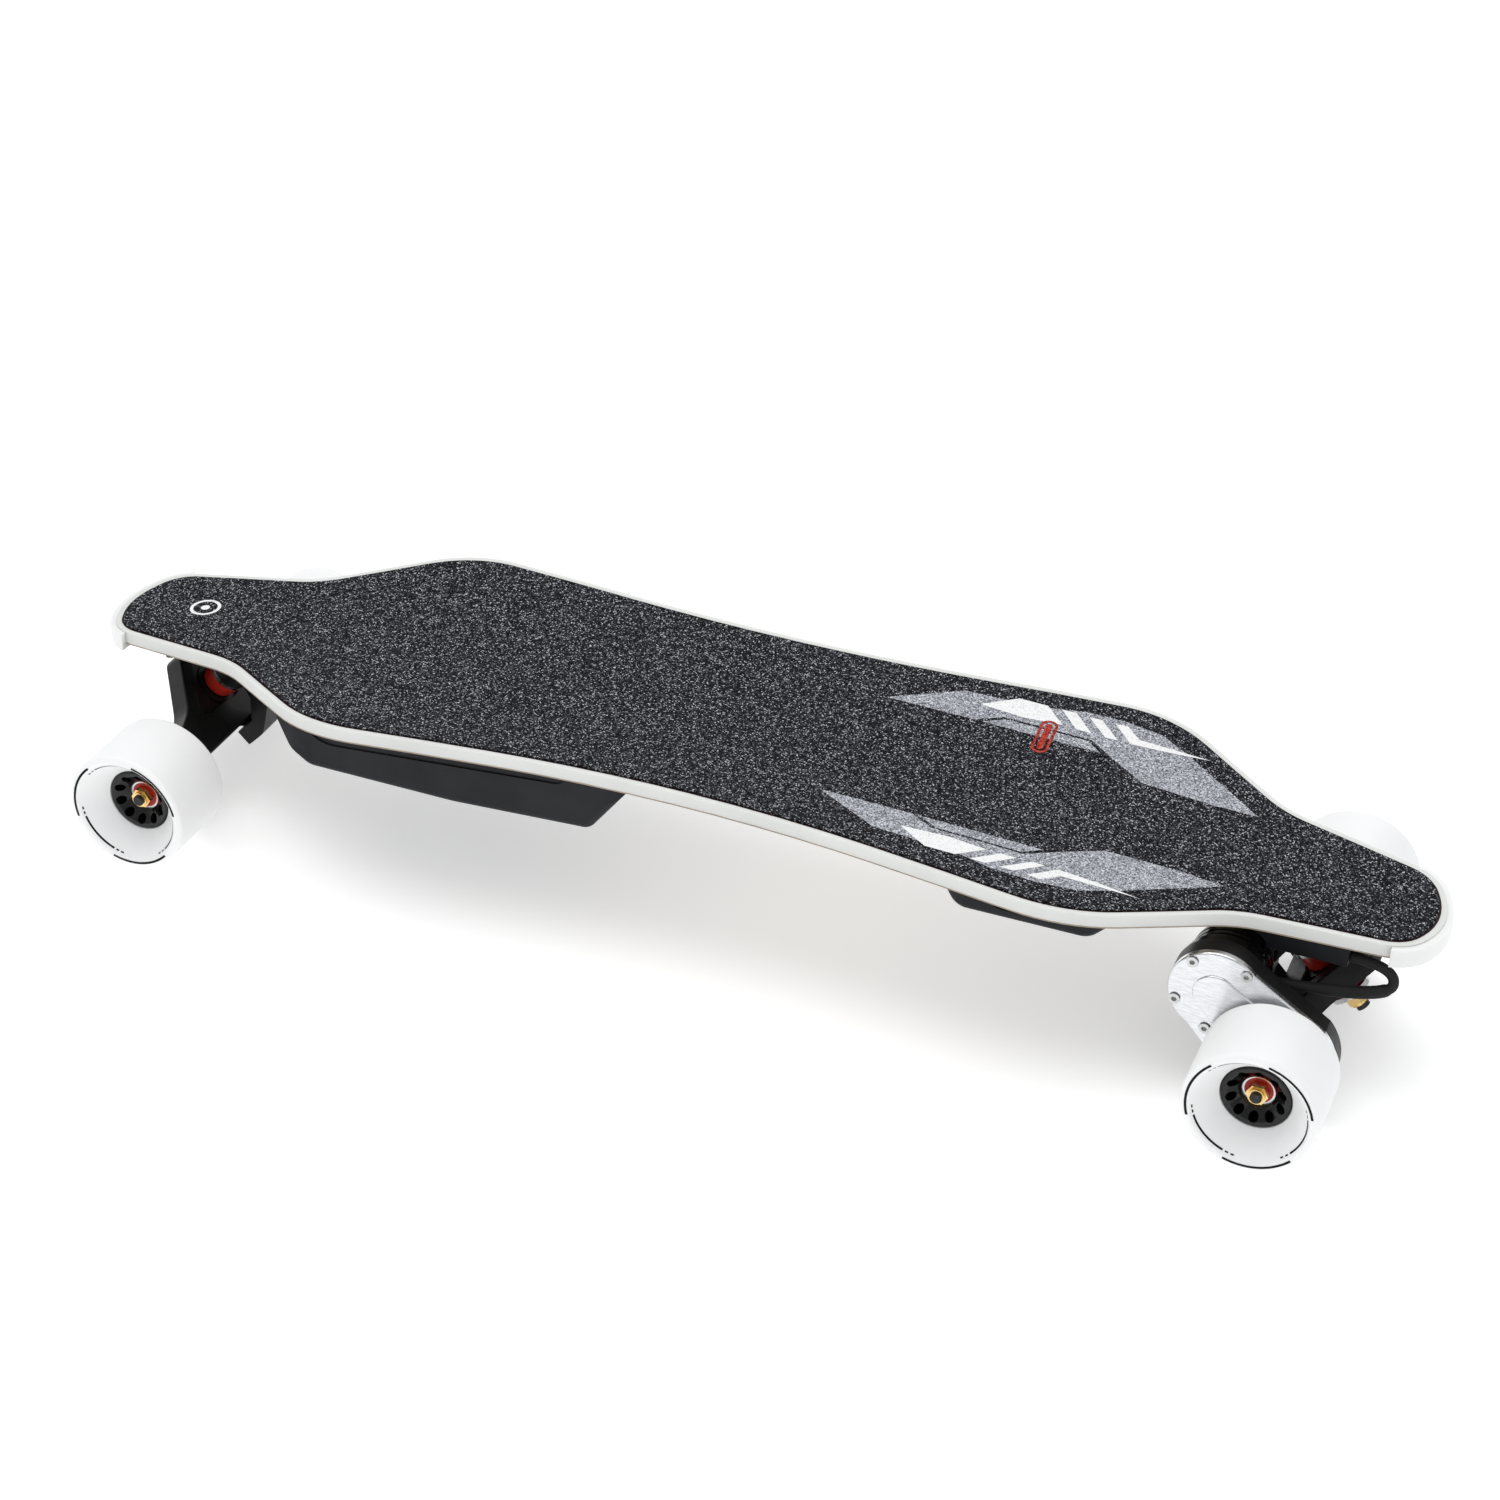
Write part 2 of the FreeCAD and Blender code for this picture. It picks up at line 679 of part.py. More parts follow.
def hanger(end_y, reach):
    """The swinging cross piece: an axle housing and a hollowed, curving web."""
    n_axle = -RAKE
    waist_s = BEAM_HALF + 12
    waist_y = 0.56 * reach
    outline = [
        (-BEAM_HALF, -reach, 4),
        (BEAM_HALF - 2, -reach, 6),
        (waist_s, -waist_y, 30),
        (APEX_S, -APEX_HALF, 9),
        (APEX_S, APEX_HALF, 9),
        (waist_s, waist_y, 30),
        (BEAM_HALF - 2, reach, 6),
        (-BEAM_HALF, reach, 4),
    ]
    frame = rounded_slab(outline, RIB_LOW, RIB_TOP)
    hollow = [
        (BEAM_HALF, -waist_y + 4, 5),
        (APEX_S - RIB_W - 2, -APEX_HALF + 5, 6),
        (APEX_S - RIB_W - 2, APEX_HALF - 5, 6),
        (BEAM_HALF, waist_y - 4, 5),
    ]
    frame = frame.cut(rounded_slab(hollow, SEAT_HALF - 1.5, RIB_TOP + 1))
    frame = frame.cut(rounded_slab(hollow, RIB_LOW - 1, -SEAT_HALF + 1.5))
    upper_edges = []
    for edge in frame.Edges:
        bounds = edge.BoundBox
        if abs(bounds.ZMax - RIB_TOP) < 0.01 and bounds.ZLength < 0.01:
            upper_edges.append(edge)
    frame = frame.makeFillet(1.6, upper_edges)
    seat = on_kingpin(SEAT_R, -SEAT_HALF, SEAT_HALF)
    nose = join([
        Part.makeCone(9.0, NOSE_R, 2.4, V(-BEAM_HALF + 0.5, 0, 0), V(-1, 0, 0)),
        Part.makeCylinder(NOSE_R, 10.0, V(-BEAM_HALF - 1.5, 0, 0), V(-1, 0, 0)),
    ])
    ends = rod(HOUSING_END_R, V(0, -end_y, n_axle), V(0, end_y, n_axle))
    body = join([frame, seat, nose, ends])
    bore = rod(AXLE_R, V(0, -200, n_axle), V(0, 200, n_axle))
    body = trim(body, on_kingpin(SEAT_BORE_R, -20, 20), bore)
    # Room for the bushings, which stand on the seat.
    body = trim(body, on_kingpin(16.0, SEAT_HALF, 40), on_kingpin(16.0, -40, -SEAT_HALF))
    return to_pivot(body)


def axle():
    rod_y = BEARING_OUT_Y + 10.0
    shaft = across(AXLE_R, -rod_y, rod_y, AXLE_X, WHEEL_R)
    ends = [e for e in shaft.Edges if e.Closed]
    return shaft.makeChamfer(0.6, ends)


def axle_hardware(spacer_from):
    """A locknut and a spacer at each end of one axle."""
    pieces = []
    start = V(AXLE_X, BEARING_OUT_Y + 0.3, WHEEL_R)
    body = hexagon(13.0, start, start + V(0, 5.5, 0))
    crown = rod(5.6, start + V(0, 5.0, 0), start + V(0, 7.6, 0))
    bore = rod(AXLE_R, start - V(0, 1, 0), start + V(0, 9, 0))
    nut = join([body, crown]).cut(bore)
    spacer = tube(5.6, AXLE_R, V(AXLE_X, spacer_from, WHEEL_R), V(AXLE_X, CORE_IN_Y - 0.3, WHEEL_R))
    for piece in (nut, spacer):
        pieces += [piece, mirrored(piece)]
    return pieces


def build_trucks():
    barrel, cone = bushings()
    low_washer = cup_washer(NUT_N, NUT_N + WASHER_T, NUT_N + WASHER_T + 1.6)
    high_washer = cup_washer(BOSS_N - WASHER_T, BOSS_N, BOSS_N - WASHER_T - 1.6)

    save("riser_pads", *both_ends(riser_pad()))
    save("baseplates", *both_ends(base_plate()))
    save("kingpins", *both_ends(kingpin()))
    save("kingpin_nuts", *both_ends(kingpin_nut()))
    save("cup_washers", *both_ends(low_washer), *both_ends(high_washer))
    save("bushings", *both_ends(barrel), *both_ends(cone))
    save("pivot_cups", *both_ends(pivot_cup()))

    save("front_hanger", both_ends(hanger(FRONT_END_Y, FRONT_WEB_Y))[0])
    save("rear_hanger", hanger(REAR_END_Y, REAR_WEB_Y))
    front_axle, rear_axle = both_ends(axle())
    save("front_axle", front_axle)
    save("rear_axle", rear_axle)
    save("front_axle_hardware", *[both_ends(p)[0] for p in axle_hardware(FRONT_END_Y)])
    save("rear_axle_hardware", *axle_hardware(REAR_END_Y))


# ---- Wheels -------------------------------------------------------------

TYRE_IN_Y = WHEEL_OUT_Y - WHEEL_WIDTH
LIP_W = 5.4                  # flat rim round the dish
HOLE_COUNT = 10
HOLE_R = 3.2
HOLE_RING_R = 17.0
HOLE_DEPTH = 24.0
SHIELD_R = (6.2, 9.6)        # a bearing's shield, inside and outside
SHIELD_STEP = 0.35


def wheel_tyre():
    return turned([
        (CORE_R, CORE_IN_Y, 0),
        (CORE_R + 4, TYRE_IN_Y + 1.0, 2),
        (WHEEL_R - 6, TYRE_IN_Y, 4),
        (WHEEL_R, TYRE_IN_Y + 1.0, 3.5),
        (WHEEL_R, WHEEL_OUT_Y, 3.6),
        (WHEEL_R - LIP_W, WHEEL_OUT_Y, 2.5),
        (CORE_R, CORE_OUT_Y - 1.0, 0),
    ])


def wheel_core():
    """The hub: a rounded outer bead, a ring of holes and two bearing seats."""
    outer_seat_y = BEARING_OUT_Y - BEARING_W
    inner_seat_y = CORE_IN_Y + BEARING_W
    shoulder_r = BEARING_R - 2.2
    core = turned([
        (BEARING_R, CORE_IN_Y, 0),
        (CORE_R, CORE_IN_Y, 0),
        (CORE_R, CORE_OUT_Y, 2.2),
        (CORE_R - 4.6, CORE_OUT_Y - 0.6, 2.0),
        (BEARING_R + 2.0, BEARING_OUT_Y + 3.0, 1.0),
        (BEARING_R, BEARING_OUT_Y + 1.0, 0),
        (BEARING_R, outer_seat_y, 0),
        (shoulder_r, outer_seat_y, 0),
        (shoulder_r, inner_seat_y, 0),
        (BEARING_R, inner_seat_y, 0),
    ])
    for k in range(HOLE_COUNT):
        angle = math.radians(360.0 * (k + 0.5) / HOLE_COUNT)
        x = HOLE_RING_R * math.cos(angle)
        z = HOLE_RING_R * math.sin(angle)
        core = core.cut(across(HOLE_R, CORE_OUT_Y - HOLE_DEPTH, CORE_OUT_Y + 1, x, z))
    return core


def wheel_bearing(outer_y):
    """One ball bearing as a ring, its two faces set back at the shields."""
    ring = across(BEARING_R, outer_y - BEARING_W, outer_y)
    shield_in, shield_out = SHIELD_R
    cuts = [across(BEARING_BORE_R, outer_y - BEARING_W - 1, outer_y + 1)]
    for y in (outer_y - BEARING_W, outer_y - SHIELD_STEP):
        groove = across(shield_out, y, y + SHIELD_STEP)
        cuts.append(groove.cut(across(shield_in, y, y + SHIELD_STEP)))
    return trim(ring, *cuts)


def build_wheels():
    tyre = wheel_tyre()
    core = wheel_core()
    outer = wheel_bearing(BEARING_OUT_Y)
    inner = wheel_bearing(CORE_IN_Y + BEARING_W)
    for end, x in (("front", -AXLE_X), ("rear", AXLE_X)):
        for side, sign in (("left", -1), ("right", 1)):
            placed = []
            for piece in (tyre, core, outer, inner):
                piece = piece.copy() if sign > 0 else mirrored(piece)
                piece.translate(V(x, 0, WHEEL_R))
                placed.append(piece)
            name = end + "_" + side
            save(name + "_tyre", placed[0])
            save(name + "_wheel_core", placed[1])
            save(name + "_bearings", placed[2], placed[3])


# ---- Geared drive -------------------------------------------------------

DRIVE = math.radians(DRIVE_ANGLE)
MOTOR_GAP = GEAR_MODULE * (PINION_TEETH / 2 + IDLER_TEETH + WHEEL_TEETH / 2)
IDLER_GAP = GEAR_MODULE * (IDLER_TEETH + WHEEL_TEETH) / 2
MOTOR_END_R = 32.0
WHEEL_END_R = 40.0
MOTOR_R = 27.0
FLANGE_R = 30.0
MOTOR_IN_Y = 40.0
FLANGE_IN_Y = 61.0
WINDING_Y = (45.0, 64.0)
STATOR_BORE_R = 14.5
ROTOR_R = 14.0
SHAFT_R = 4.0
HUB_R = 13.0
HUB_BORE_R = 6.4
IDLER_PIN_R = 3.0
CASE_WALL = 3.0
POST_R = 4.2
COVER_FACE_Y = COVER_OUT_Y - 1.2
TRACK_END_R = 15.0
SCREW_SEAT_Y = COVER_FACE_Y - 1.0
SCREW_DEPTH = 5.0
IDLER_PIN_END_Y = COVER_OUT_Y - 2.4
COVER_SCREW_ANGLES = (48.0, 128.0, 201.0, 262.0)
COVER_SCREW_RING = 27.8
PRESSURE = math.radians(20)
ADDENDUM = 0.85
DEDENDUM = 1.2
BACKLASH = 0.045             # share of the pitch taken off each tooth


def on_drive_line(distance):
    """A place (x, z) on the line from the axle to the motor."""
    return (AXLE_X + distance * math.cos(DRIVE), WHEEL_R + distance * math.sin(DRIVE))


def flank_angle(radius, pitch_r):
    """How far an involute flank has turned at a radius, from the pitch circle."""
    base_r = pitch_r * math.cos(PRESSURE)

    def involute(r):
        if r <= base_r:
            return 0.0
        a = math.acos(base_r / r)
        return math.tan(a) - a

    return involute(radius) - involute(pitch_r)


def gear_blank(teeth, first_tooth):
    """An involute gear about Y; first_tooth is the angle of one tooth's middle."""
    pitch_r = GEAR_MODULE * teeth / 2
    tip_r = pitch_r + ADDENDUM * GEAR_MODULE
    root_r = pitch_r - DEDENDUM * GEAR_MODULE
    half = math.pi / teeth * (0.5 - BACKLASH)
    pitch_angle = 2 * math.pi / teeth
    low_r = pitch_r - 0.6 * GEAR_MODULE
    high_r = pitch_r + 0.45 * GEAR_MODULE
    levels = [root_r, low_r, pitch_r, high_r, tip_r]
    points = []
    for k in range(teeth):
        middle = first_tooth + k * pitch_angle
        rising = [(r, middle - half + flank_angle(r, pitch_r)) for r in levels]
        falling = [(r, 2 * middle - a) for r, a in reversed(rising)]
        for r, a in rising + falling:
            points.append(V(r * math.cos(a), 0, r * math.sin(a)))
    face = Part.Face(Part.makePolygon(points + [points[0]]))
    return face.extrude(V(0, GEAR_W, 0))


def placed_gear(teeth, first_tooth, distance):
    x, z = on_drive_line(distance)
    gear = gear_blank(teeth, first_tooth)
    gear.translate(V(x, GEAR_IN_Y, z))
    return gear


def drive_outline(motor_r, wheel_r):
    """Face of the gear case: two circles and the lines that touch both."""
    spread = math.asin((wheel_r - motor_r) / MOTOR_GAP)
    mx, mz = on_drive_line(MOTOR_GAP)

    def at(x, z, radius, angle):
        return V(x + radius * math.cos(angle), 0, z + radius * math.sin(angle))

    upper = DRIVE - math.pi / 2 - spread
    lower = DRIVE + math.pi / 2 + spread
    edges = [
        Part.Arc(
            at(mx, mz, motor_r, upper), at(mx, mz, motor_r, DRIVE), at(mx, mz, motor_r, lower)
        ).toShape(),
        Part.LineSegment(
            at(mx, mz, motor_r, lower), at(AXLE_X, WHEEL_R, wheel_r, lower)
        ).toShape(),
        Part.Arc(
            at(AXLE_X, WHEEL_R, wheel_r, lower),
            at(AXLE_X, WHEEL_R, wheel_r, DRIVE + math.pi),
            at(AXLE_X, WHEEL_R, wheel_r, upper),
        ).toShape(),
        Part.LineSegment(
            at(AXLE_X, WHEEL_R, wheel_r, upper), at(mx, mz, motor_r, upper)
        ).toShape(),
    ]
    return Part.Face(Part.Wire(edges))


def drive_slab(motor_r, wheel_r, y0, y1):
    slab = drive_outline(motor_r, wheel_r).extrude(V(0, y1 - y0, 0))
    slab.translate(V(0, y0, 0))
    return slab


def at_drive(radius, distance, y0, y1):
    x, z = on_drive_line(distance)
    return across(radius, y0, y1, x, z)


def cover_screw_places():
    x, z = on_drive_line(MOTOR_GAP)
    places = []
    for degrees in COVER_SCREW_ANGLES:
        angle = math.radians(degrees)
        px = x + COVER_SCREW_RING * math.cos(angle)
        pz = z + COVER_SCREW_RING * math.sin(angle)
        places.append((px, pz))
    return places


def case_cavity(y0, y1):
    """The room for the gears, less the posts that take the cover's screws."""
    room = drive_slab(MOTOR_END_R - CASE_WALL, WHEEL_END_R - CASE_WALL, y0, y1)
    posts = [across(POST_R, y0, y1, x, z) for x, z in cover_screw_places()]
    return trim(room, *posts)


def gear_plate():
    """The gear case: a plate on the motor with a wall round the gears."""
    case = drive_slab(MOTOR_END_R, WHEEL_END_R, PLATE_IN_Y, CASE_RIM_Y)
    holes = [
        case_cavity(PLATE_OUT_Y, CASE_RIM_Y),
        across(HOUSING_END_R, PLATE_IN_Y - 1, PLATE_OUT_Y, AXLE_X, WHEEL_R),
        at_drive(SHAFT_R + 0.6, MOTOR_GAP, PLATE_IN_Y - 1, PLATE_OUT_Y + 1),
    ]
    for x, z in cover_screw_places():
        holes.append(across(SCREW_R, CASE_RIM_Y - SCREW_DEPTH, CASE_RIM_Y + 1, x, z))
    return trim(case, *holes)


def gear_cover():
    """The thin lid over the gears, with a raised track from end to end."""
    lid = drive_slab(MOTOR_END_R, WHEEL_END_R, CASE_RIM_Y, COVER_FACE_Y)
    rim = [e for e in lid.Edges if e.BoundBox.YMin > COVER_FACE_Y - 0.1]
    lid = lid.makeFillet(1.6, rim)
    track = drive_slab(TRACK_END_R, TRACK_END_R + 9, COVER_FACE_Y - 1, COVER_OUT_Y)
    rim = [e for e in track.Edges if e.BoundBox.YMin > COVER_OUT_Y - 0.1]
    track = track.makeFillet(1.1, rim)
    lid = join([lid, track])
    openings = [
        case_cavity(CASE_RIM_Y, COVER_FACE_Y - 2.6),
        across(HUB_R + 0.5, CASE_RIM_Y - 1, COVER_OUT_Y + 1, AXLE_X, WHEEL_R),
        at_drive(IDLER_PIN_R, IDLER_GAP, CASE_RIM_Y, IDLER_PIN_END_Y),
    ]
    for x, z in cover_screw_places():
        openings.append(across(SCREW_R, CASE_RIM_Y - 1, COVER_OUT_Y, x, z))
        openings.append(across(HEAD_R + 0.4, SCREW_SEAT_Y, COVER_OUT_Y + 1, x, z))
    return trim(lid, *openings)


def cover_screws():
    screws = []
    for x, z in cover_screw_places():
        head = across(HEAD_R, SCREW_SEAT_Y, COVER_FACE_Y + 1.4, x, z)
        shank = across(SCREW_R, CASE_RIM_Y - SCREW_DEPTH, SCREW_SEAT_Y + 0.1, x, z)
        socket = hexagon(3.6, V(x, COVER_FACE_Y - 0.8, z), V(x, COVER_FACE_Y + 2, z))
        screws.append(join([head, shank]).cut(socket))
    return screws


def motor_case():
    can = at_drive(MOTOR_R, MOTOR_GAP, MOTOR_IN_Y, PLATE_IN_Y)
    rim = [e for e in can.Edges if e.Closed and e.BoundBox.YMax < MOTOR_IN_Y + 0.1]
    can = can.makeFillet(3.0, rim)
    flange = at_drive(FLANGE_R, MOTOR_GAP, FLANGE_IN_Y, PLATE_IN_Y)
    # Three cooling grooves round the barrel.
    grooves = []
    for k in range(3):
        y = MOTOR_IN_Y + 5.0 * (k + 1)
        ring = at_drive(MOTOR_R + 1, MOTOR_GAP, y, y + 2.0)
        grooves.append(ring.cut(at_drive(MOTOR_R - 0.8, MOTOR_GAP, y, y + 2.0)))
    hollow = at_drive(MOTOR_R - 3, MOTOR_GAP, MOTOR_IN_Y + 3, PLATE_IN_Y - 4)
    shaft_hole = at_drive(SHAFT_R + 0.6, MOTOR_GAP, MOTOR_IN_Y + 1, PLATE_IN_Y + 1)
    lead_start = LEAD_ROUTE[0]
    heading = LEAD_ROUTE[1] - lead_start
    heading.normalize()
    gland = rod(GLAND_R, lead_start - heading * GLAND_L, lead_start)
    return trim(join([can, flange, gland]), hollow, shaft_hole, *grooves)


def stator():
    ring = at_drive(MOTOR_R - 3, MOTOR_GAP, *WINDING_Y)
    return ring.cut(at_drive(STATOR_BORE_R, MOTOR_GAP, MOTOR_IN_Y, PLATE_IN_Y))


def rotor():
    """Magnet drum, shaft and the pinion cut on the shaft's end."""
    magnets = at_drive(ROTOR_R, MOTOR_GAP, *WINDING_Y)
    shaft = at_drive(SHAFT_R, MOTOR_GAP, MOTOR_IN_Y + 2, GEAR_IN_Y + GEAR_W)
    # Like the wheel gear, the pinion points a tooth at a gap of the idler.
    pinion = placed_gear(PINION_TEETH, DRIVE, MOTOR_GAP)
    return join([magnets, shaft, pinion])


def wheel_gear():
    gear = placed_gear(WHEEL_TEETH, DRIVE, 0.0)
    hub = across(HUB_R, GEAR_IN_Y, CORE_IN_Y, AXLE_X, WHEEL_R)
    return join([gear, hub]).cut(across(HUB_BORE_R, 70, 100, AXLE_X, WHEEL_R))


def idler_gear():
    """The idler has a gap where each of its neighbours has a tooth."""
    half_pitch = math.pi / IDLER_TEETH
    gear = placed_gear(IDLER_TEETH, DRIVE + half_pitch, IDLER_GAP)
    return gear.cut(at_drive(IDLER_PIN_R + 0.05, IDLER_GAP, 70, 95))


def build_drive():
    idler_pin = at_drive(IDLER_PIN_R, IDLER_GAP, PLATE_OUT_Y, IDLER_PIN_END_Y)
    pieces = {
        "gear_plate": gear_plate(),
        "gear_cover": gear_cover(),
        "motor_case": motor_case(),
        "rotor": rotor(),
        "idler_gear": idler_gear(),
        "wheel_gear": wheel_gear(),
    }
    for name, piece in pieces.items():
        save("right_" + name, piece)
        save("left_" + name, mirrored(piece))
    screws = cover_screws()
    save("cover_screws", *screws, *[mirrored(s) for s in screws])
    save("idler_pins", idler_pin, mirrored(idler_pin))
    save("stators", stator(), mirrored(stator()))


# ---- Motor leads --------------------------------------------------------

CABLE_R = 3.6
GLAND_R = 5.2
GLAND_L = 14.0
GUIDE_X = 440.0
GUIDE_Y = 42.0
GUIDE_Z = 104.5

# From the motor's gland out over the hanger, round behind it and back up
# into the guide under the deck.
LEAD_ROUTE = [
    V(AXLE_X - 10.5, 61.0, 84.0),
    V(AXLE_X + 61.0, 47.0, 80.5),
    V(AXLE_X + 63.0, GUIDE_Y, GUIDE_Z),
    V(GUIDE_X, GUIDE_Y, GUIDE_Z),
]


def lead_wire(points):
    """Straight runs joined by the largest tangent arcs that fit."""
    edges = []
    start = points[0]
    for i in range(1, len(points) - 1):
        corner = points[i]
        back = points[i - 1] - corner
        ahead = points[i + 1] - corner
        shorter = min(back.Length, ahead.Length)
        back.normalize()
        ahead.normalize()
        half_turn = (math.pi - back.getAngle(ahead)) / 2
        reach = 0.45 * shorter
        radius = reach / math.tan(half_turn)
        into = corner + back * reach
        out = corner + ahead * reach
        bisector = back + ahead
        bisector.normalize()
        middle = corner + bisector * (radius / math.cos(half_turn) - radius)
        print("motor lead bend radius %.1f mm" % radius)
        edges.append(Part.LineSegment(start, into).toShape())
        edges.append(Part.Arc(into, middle, out).toShape())
        start = out
    edges.append(Part.LineSegment(start, points[-1]).toShape())
    return Part.Wire(edges)


def motor_lead():
    wire = lead_wire(LEAD_ROUTE)
    heading = LEAD_ROUTE[1] - LEAD_ROUTE[0]
    ring = Part.Wire(Part.Circle(LEAD_ROUTE[0], heading, CABLE_R).toShape())
    cable = wire.makePipeShell([ring], True, False)
    expected = math.pi * CABLE_R ** 2 * wire.Length
    print("motor lead length %.1f mm, volume ratio %.4f" % (wire.Length, cable.Volume / expected))
    return cable


def cable_guide():
    """A clip bar that holds one lead under the deck."""
    x0, x1 = AXLE_X - 22.0, GUIDE_X
    low = LEAD_ROUTE[-1].z - 5.5
    bar = box(x0, x1, GUIDE_Y - 6.5, GUIDE_Y + 6.5, low, 140)
    edges = [e for e in bar.Edges if e.BoundBox.ZMax < low + 0.01]
    return bar.makeFillet(2.0, edges).common(below_deck())


def build_leads():
    lead = motor_lead()
    guide = cable_guide()
    save("motor_leads", lead, mirrored(lead))
    save("cable_guides", guide, mirrored(guide))


# ---- All pieces ---------------------------------------------------------

battery_gasket, battery_screws = build_battery()
controller_gasket, controller_screws = build_controller()
box_screws = battery_screws + controller_screws
plate_bolts = [b for bolt in truck_bolts() for b in both_ends(bolt)]
build_deck(box_screws + plate_bolts)
gaskets = [trim(battery_gasket, *battery_screws), trim(controller_gasket, *controller_screws)]
save("enclosure_gaskets", *gaskets)
save("enclosure_screws", *box_screws)
save("truck_bolts", *plate_bolts)
build_trucks()
build_wheels()
build_drive()
build_leads()
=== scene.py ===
import json
import math

import bmesh
import bpy
from mathutils import Matrix, Vector
from mathutils.bvhtree import BVHTree


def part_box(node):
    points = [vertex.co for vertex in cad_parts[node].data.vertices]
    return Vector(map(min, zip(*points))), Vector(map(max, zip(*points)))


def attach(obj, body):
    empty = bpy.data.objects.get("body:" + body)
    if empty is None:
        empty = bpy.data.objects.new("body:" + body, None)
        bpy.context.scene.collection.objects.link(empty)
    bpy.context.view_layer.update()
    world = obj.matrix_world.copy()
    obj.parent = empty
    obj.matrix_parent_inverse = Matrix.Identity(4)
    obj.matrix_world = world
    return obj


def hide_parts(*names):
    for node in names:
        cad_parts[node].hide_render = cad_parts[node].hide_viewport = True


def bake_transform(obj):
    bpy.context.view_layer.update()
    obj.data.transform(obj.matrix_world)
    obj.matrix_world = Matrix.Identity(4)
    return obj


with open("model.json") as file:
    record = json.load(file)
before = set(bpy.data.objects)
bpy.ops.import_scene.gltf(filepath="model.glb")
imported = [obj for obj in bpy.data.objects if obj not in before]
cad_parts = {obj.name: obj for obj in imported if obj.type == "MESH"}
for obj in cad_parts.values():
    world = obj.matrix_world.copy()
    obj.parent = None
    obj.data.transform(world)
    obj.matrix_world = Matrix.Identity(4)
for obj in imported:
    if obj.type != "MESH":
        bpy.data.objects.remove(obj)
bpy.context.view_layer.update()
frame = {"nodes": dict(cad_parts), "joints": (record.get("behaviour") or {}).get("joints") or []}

MM = 0.001
NODES = frame["nodes"]
SIDES = ("left", "right")
WHEELS = ("front_left", "front_right", "rear_left", "rear_right")


def middle(node):
    """The middle of a CAD node's box, in metres."""
    low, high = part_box(node)
    return (low + high) / 2


# ---- Materials ----------------------------------------------------------

class Shader:
    """A small helper that wires up one material's nodes."""

    def __init__(self, name):
        self.material = bpy.data.materials.new(name)
        self.material.use_nodes = True
        self.tree = self.material.node_tree
        self.tree.nodes.clear()
        output = self.tree.nodes.new("ShaderNodeOutputMaterial")
        self.main = self.tree.nodes.new("ShaderNodeBsdfPrincipled")
        self.link(self.main, "BSDF", output, "Surface")
        coords = self.tree.nodes.new("ShaderNodeTexCoord")
        self.place = (coords, "Object")
        self.height = None

    def link(self, source, out_name, target, in_name):
        self.tree.links.new(source.outputs[out_name], target.inputs[in_name])

    def fixed(self, **values):
        """Sets numbers that are the same all over the surface."""
        for name, value in values.items():
            self.main.inputs[name.replace("_", " ")].default_value = value

    def noise(self, scale, detail=4.0, roughness=0.6, stretch=None):
        node = self.tree.nodes.new("ShaderNodeTexNoise")
        node.inputs["Scale"].default_value = scale
        node.inputs["Detail"].default_value = detail
        node.inputs["Roughness"].default_value = roughness
        self.feed(node, stretch)
        return (node, "Fac")

    def grains(self, scale, output="Color"):
        """A cell pattern: one random value to a cell, or the distance to its centre."""
        node = self.tree.nodes.new("ShaderNodeTexVoronoi")
        node.inputs["Scale"].default_value = scale
        self.feed(node, None)
        if output != "Color":
            return (node, output)
        split = self.tree.nodes.new("ShaderNodeSeparateColor")
        self.link(node, "Color", split, "Color")
        return (split, "Red")

    def feed(self, node, stretch):
        """Gives a texture its place on the object, stretched along the axes if asked."""
        if stretch is None:
            self.link(*self.place, node, "Vector")
            return
        mapping = self.tree.nodes.new("ShaderNodeMapping")
        mapping.inputs["Scale"].default_value = stretch
        self.link(*self.place, mapping, "Vector")
        self.link(mapping, "Vector", node, "Vector")

    def ramp(self, source, *stops):
        """Turns a value into a colour by (position, colour) stops."""
        node = self.tree.nodes.new("ShaderNodeValToRGB")
        self.link(*source, node, "Fac")
        ramp = node.color_ramp
        while len(ramp.elements) < len(stops):
            ramp.elements.new(0.5)
        for element, (position, colour) in zip(ramp.elements, stops):
            element.position = position
            if isinstance(colour, float):
                colour = (colour, colour, colour)
            element.color = (*colour, 1.0)
        return (node, "Color")

    def colour(self, source):
        self.link(*source, self.main, "Base Color")

    def rough(self, source, low, high):
        self.link(*self.ramp(source, (0.25, low), (0.75, high)), self.main, "Roughness")

    def bump(self, source, depth, strength=1.0):
        """Adds relief of a depth in metres on top of any relief added before."""
        node = self.tree.nodes.new("ShaderNodeBump")
        node.inputs["Distance"].default_value = depth
        node.inputs["Strength"].default_value = strength
        self.link(*source, node, "Height")
        if self.height is not None:
            self.link(self.height, "Normal", node, "Normal")
        self.height = node
        self.link(node, "Normal", self.main, "Normal")


GRAIN_SCALE = 1250.0


def make_grit(name, *stops):
    """Abrasive grains under a millimetre across, dark in between and glinting on top; the glints are
    painted into the grains' colour by the brightest stops.
    """
    s = Shader(name)
    s.fixed(Specular_IOR_Level=0.1)
    grains = s.grains(GRAIN_SCALE)
    s.colour(s.ramp(grains, *stops))
    s.rough(grains, 0.95, 0.7)
    s.bump(s.grains(GRAIN_SCALE, "Distance"), 0.35 * MM, 0.6)
    s.bump(s.noise(300.0), 0.25 * MM, 0.5)
    return s.material
